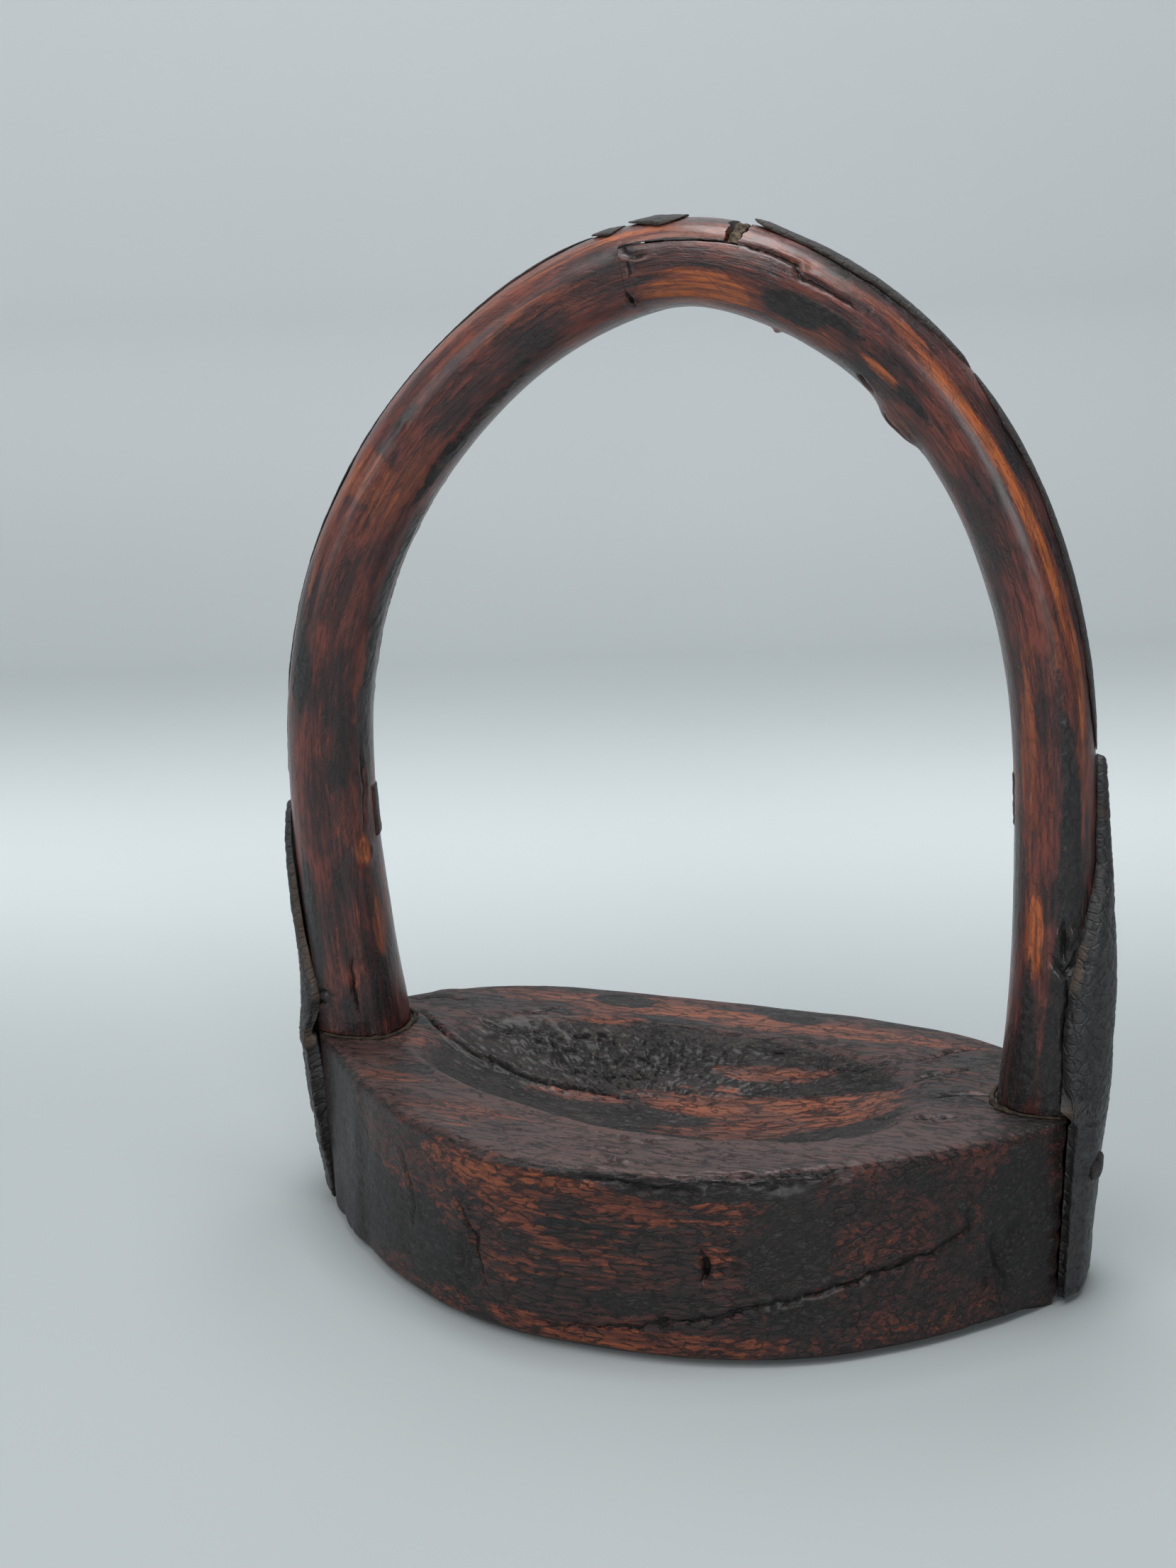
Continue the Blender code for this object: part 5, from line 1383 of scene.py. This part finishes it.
def inner_slip(side):
    """Small repair slip let into the inner face of a leg, with broken edges."""
    word = SIDES[side]
    z0, z1 = SLIP_Z[side]
    s0, s1 = sorted((arc_at_z(z0, side), arc_at_z(z1, side)))
    ss = np.linspace(s0, s1, 60)[:, None]
    u = np.linspace(-1, 1, 31)[None, :]
    s = ss + 0 * u
    r = bow_radius(s)
    lip = np.clip(np.minimum((1 - np.abs(u)) * SLIP_W / 2, np.minimum(s - s0, s1 - s)) / 0.7, 0, 1)
    wave = fractal(line(s * 0.8, np.sign(u) * 4), 3, 440 + side)
    y = SLIP_DY[side] + u * SLIP_W / 2 * (1.0 + 0.13 * wave)
    grain = np.stack([s, y, 0 * s], -1)
    top = SLIP_PROUD * rounded(lip) + 0.10 * fractal(grain * 0.9, 3, 450)
    shift = np.sqrt(np.clip(r ** 2 - y ** 2, 0, None))
    inner = place(s, -shift + SLIP_T - 0.6, y)
    outer = place(s, -shift - np.maximum(0.05, top), y)
    points, faces = slab(inner, outer)
    edge = np.clip(1.0 - (1 - np.abs(u)) * SLIP_W / 2 / 0.8, 0, 1) + 0 * s
    return piece(f"slip_{word}", points, faces, SLIP_HIDE, [f"inner_slip_{word}"],
                 {"grain": np.concatenate([grain, grain + 0.3]),
                  "edge": np.concatenate([edge, edge])})


# ---- the object -------------------------------------------------------------------------------
tread_block()
for side_number in (0, 1):
    bow_half(side_number)
    cheek(side_number)
    seat_putty(side_number)
    cheek_stud(side_number)
    inner_slip(side_number)
crown_filler()
strips()
for node_name, node_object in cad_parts.items():
    if "peg" in node_name:     # the pegs keep their CAD shape
        node_object.material_slots[0].material = PEG_WOOD

# ---- stage, lights and camera ------------------------------------------------------------------
AZIMUTH, ELEVATION, ROLL = math.radians(20.0), math.radians(17.0), -0.03016
CAMERA_AT = (0.11634, -0.35719, 0.20512)
LENS = 52.08


def stage_paper():
    """Seamless paper: flat under the object, curving up behind it; its bend and upright part are
    painted paler than the floor, as painted light.
    """
    away = np.array([-math.sin(AZIMUTH), math.cos(AZIMUTH)])
    across = np.array([math.cos(AZIMUTH), math.sin(AZIMUTH)])
    bend_at, radius = 0.46, 0.12         # the upright part stands clear of every viewpoint
    profile = [(-2.5, 0.0), (-0.6, 0.0), (bend_at * 0.5, 0.0)]
    profile += [(bend_at + radius * math.sin(t), radius * (1 - math.cos(t)))
                for t in np.linspace(0, math.pi / 2, 40)]
    profile += [(bend_at + radius, 0.4), (bend_at + radius, 2.2)]
    verts, faces = [], []
    for d, z in profile:
        for w in (-2.5, 2.5):
            verts.append((*(away * d + across * w), z))
    for k in range(len(profile) - 1):
        faces.append((2 * k, 2 * k + 1, 2 * k + 3, 2 * k + 2))
    mesh = bpy.data.meshes.new("paper")
    mesh.from_pydata(verts, [], faces)
    mesh.shade_smooth()
    sh = Shader("paper", specular=0.2)
    tone = sh.noise(sh.position(), (3.0, 3.0, 3.0), detail=3.0)
    colour = sh.ramp(tone, (0.3, (0.345, 0.378, 0.389)), (0.7, (0.367, 0.401, 0.411)))
    height = sh.tree.nodes.new("ShaderNodeSeparateXYZ")
    sh.put(height.inputs[0], sh.position())
    # painted light: the bend and upright part are painted paler than the floor, so they look
    # brighter than the lamps alone would light them
    colour = sh.blend(sh.step(height.outputs["Z"], 0.0, 0.14), colour, (0.515, 0.545, 0.562))
    mesh.materials.append(sh.finish(colour, 0.6, None))
    linked("paper", mesh)


def placement(at, right, up, back):
    """Where a light or the camera stands, from its three axes."""
    turn = Matrix([[right[k], up[k], back[k]] for k in range(3)]).to_4x4()
    return Matrix.Translation(at) @ turn


def soft_light(name, at, aim, size, watts, colour=(1.0, 1.0, 1.0)):
    data = bpy.data.lights.new(name, 'AREA')
    data.shape = 'RECTANGLE'
    data.size, data.size_y = size
    data.energy = watts
    data.color = colour
    back = np.array(at, float) - np.array(aim, float)
    back /= np.linalg.norm(back)
    side = np.cross((0.0, 0.0, 1.0), back)
    side /= np.linalg.norm(side)
    obj = linked(name, data)
    obj.matrix_world = placement(at, side, np.cross(back, side), back)
    return obj


def lights():
    away = np.array([-math.sin(AZIMUTH), math.cos(AZIMUTH), 0.0])
    up = np.array([0.0, 0.0, 1.0])
    soft_light("key", (-0.35, -0.60, 1.05), (0.0, 0.05, 0.05), (0.9, 0.6), 6.0,
               (1.0, 0.99, 0.98))
    soft_light("window", (-0.80, -0.62, 0.38), (0.0, 0.0, 0.09), (0.40, 0.60), 2.2)
    soft_light("overhead", (0.05, 0.12, 1.15), (0.0, 0.08, 0.0), (0.7, 0.45), 10.5)
    soft_light("front", (0.62, -0.94, 0.38), (0.03, 0.0, 0.11), (0.30, 0.52), 4.0)
    band = soft_light("band", tuple(-0.05 * away + 0.75 * up), tuple(0.25 * away),
                      (1.6, 0.06), 0.62)
    band.data.spread = math.radians(23.0)
    world = bpy.data.worlds.new("studio")
    world.use_nodes = True
    world.node_tree.nodes["Background"].inputs[0].default_value = (0.84, 0.91, 1.0, 1.0)
    world.node_tree.nodes["Background"].inputs[1].default_value = 0.15
    bpy.context.scene.world = world
    bpy.context.scene.view_settings.view_transform = 'Standard'


def camera():
    sin_a, cos_a, sin_e, cos_e = (math.sin(AZIMUTH), math.cos(AZIMUTH), math.sin(ELEVATION),
                                  math.cos(ELEVATION))
    back = np.array([sin_a * cos_e, -cos_a * cos_e, sin_e])
    level = np.array([cos_a, sin_a, 0.0])
    upright = np.cross(back, level)
    right = math.cos(ROLL) * level + math.sin(ROLL) * upright
    up = -math.sin(ROLL) * level + math.cos(ROLL) * upright
    data = bpy.data.cameras.new("camera")
    data.sensor_fit = 'VERTICAL'
    data.sensor_height = 36.0
    data.lens = LENS
    data.clip_start, data.clip_end = 0.01, 20.0
    obj = linked("camera", data)
    obj.matrix_world = placement(CAMERA_AT, right, up, back)
    bpy.context.scene.camera = obj


stage_paper()
lights()
camera()
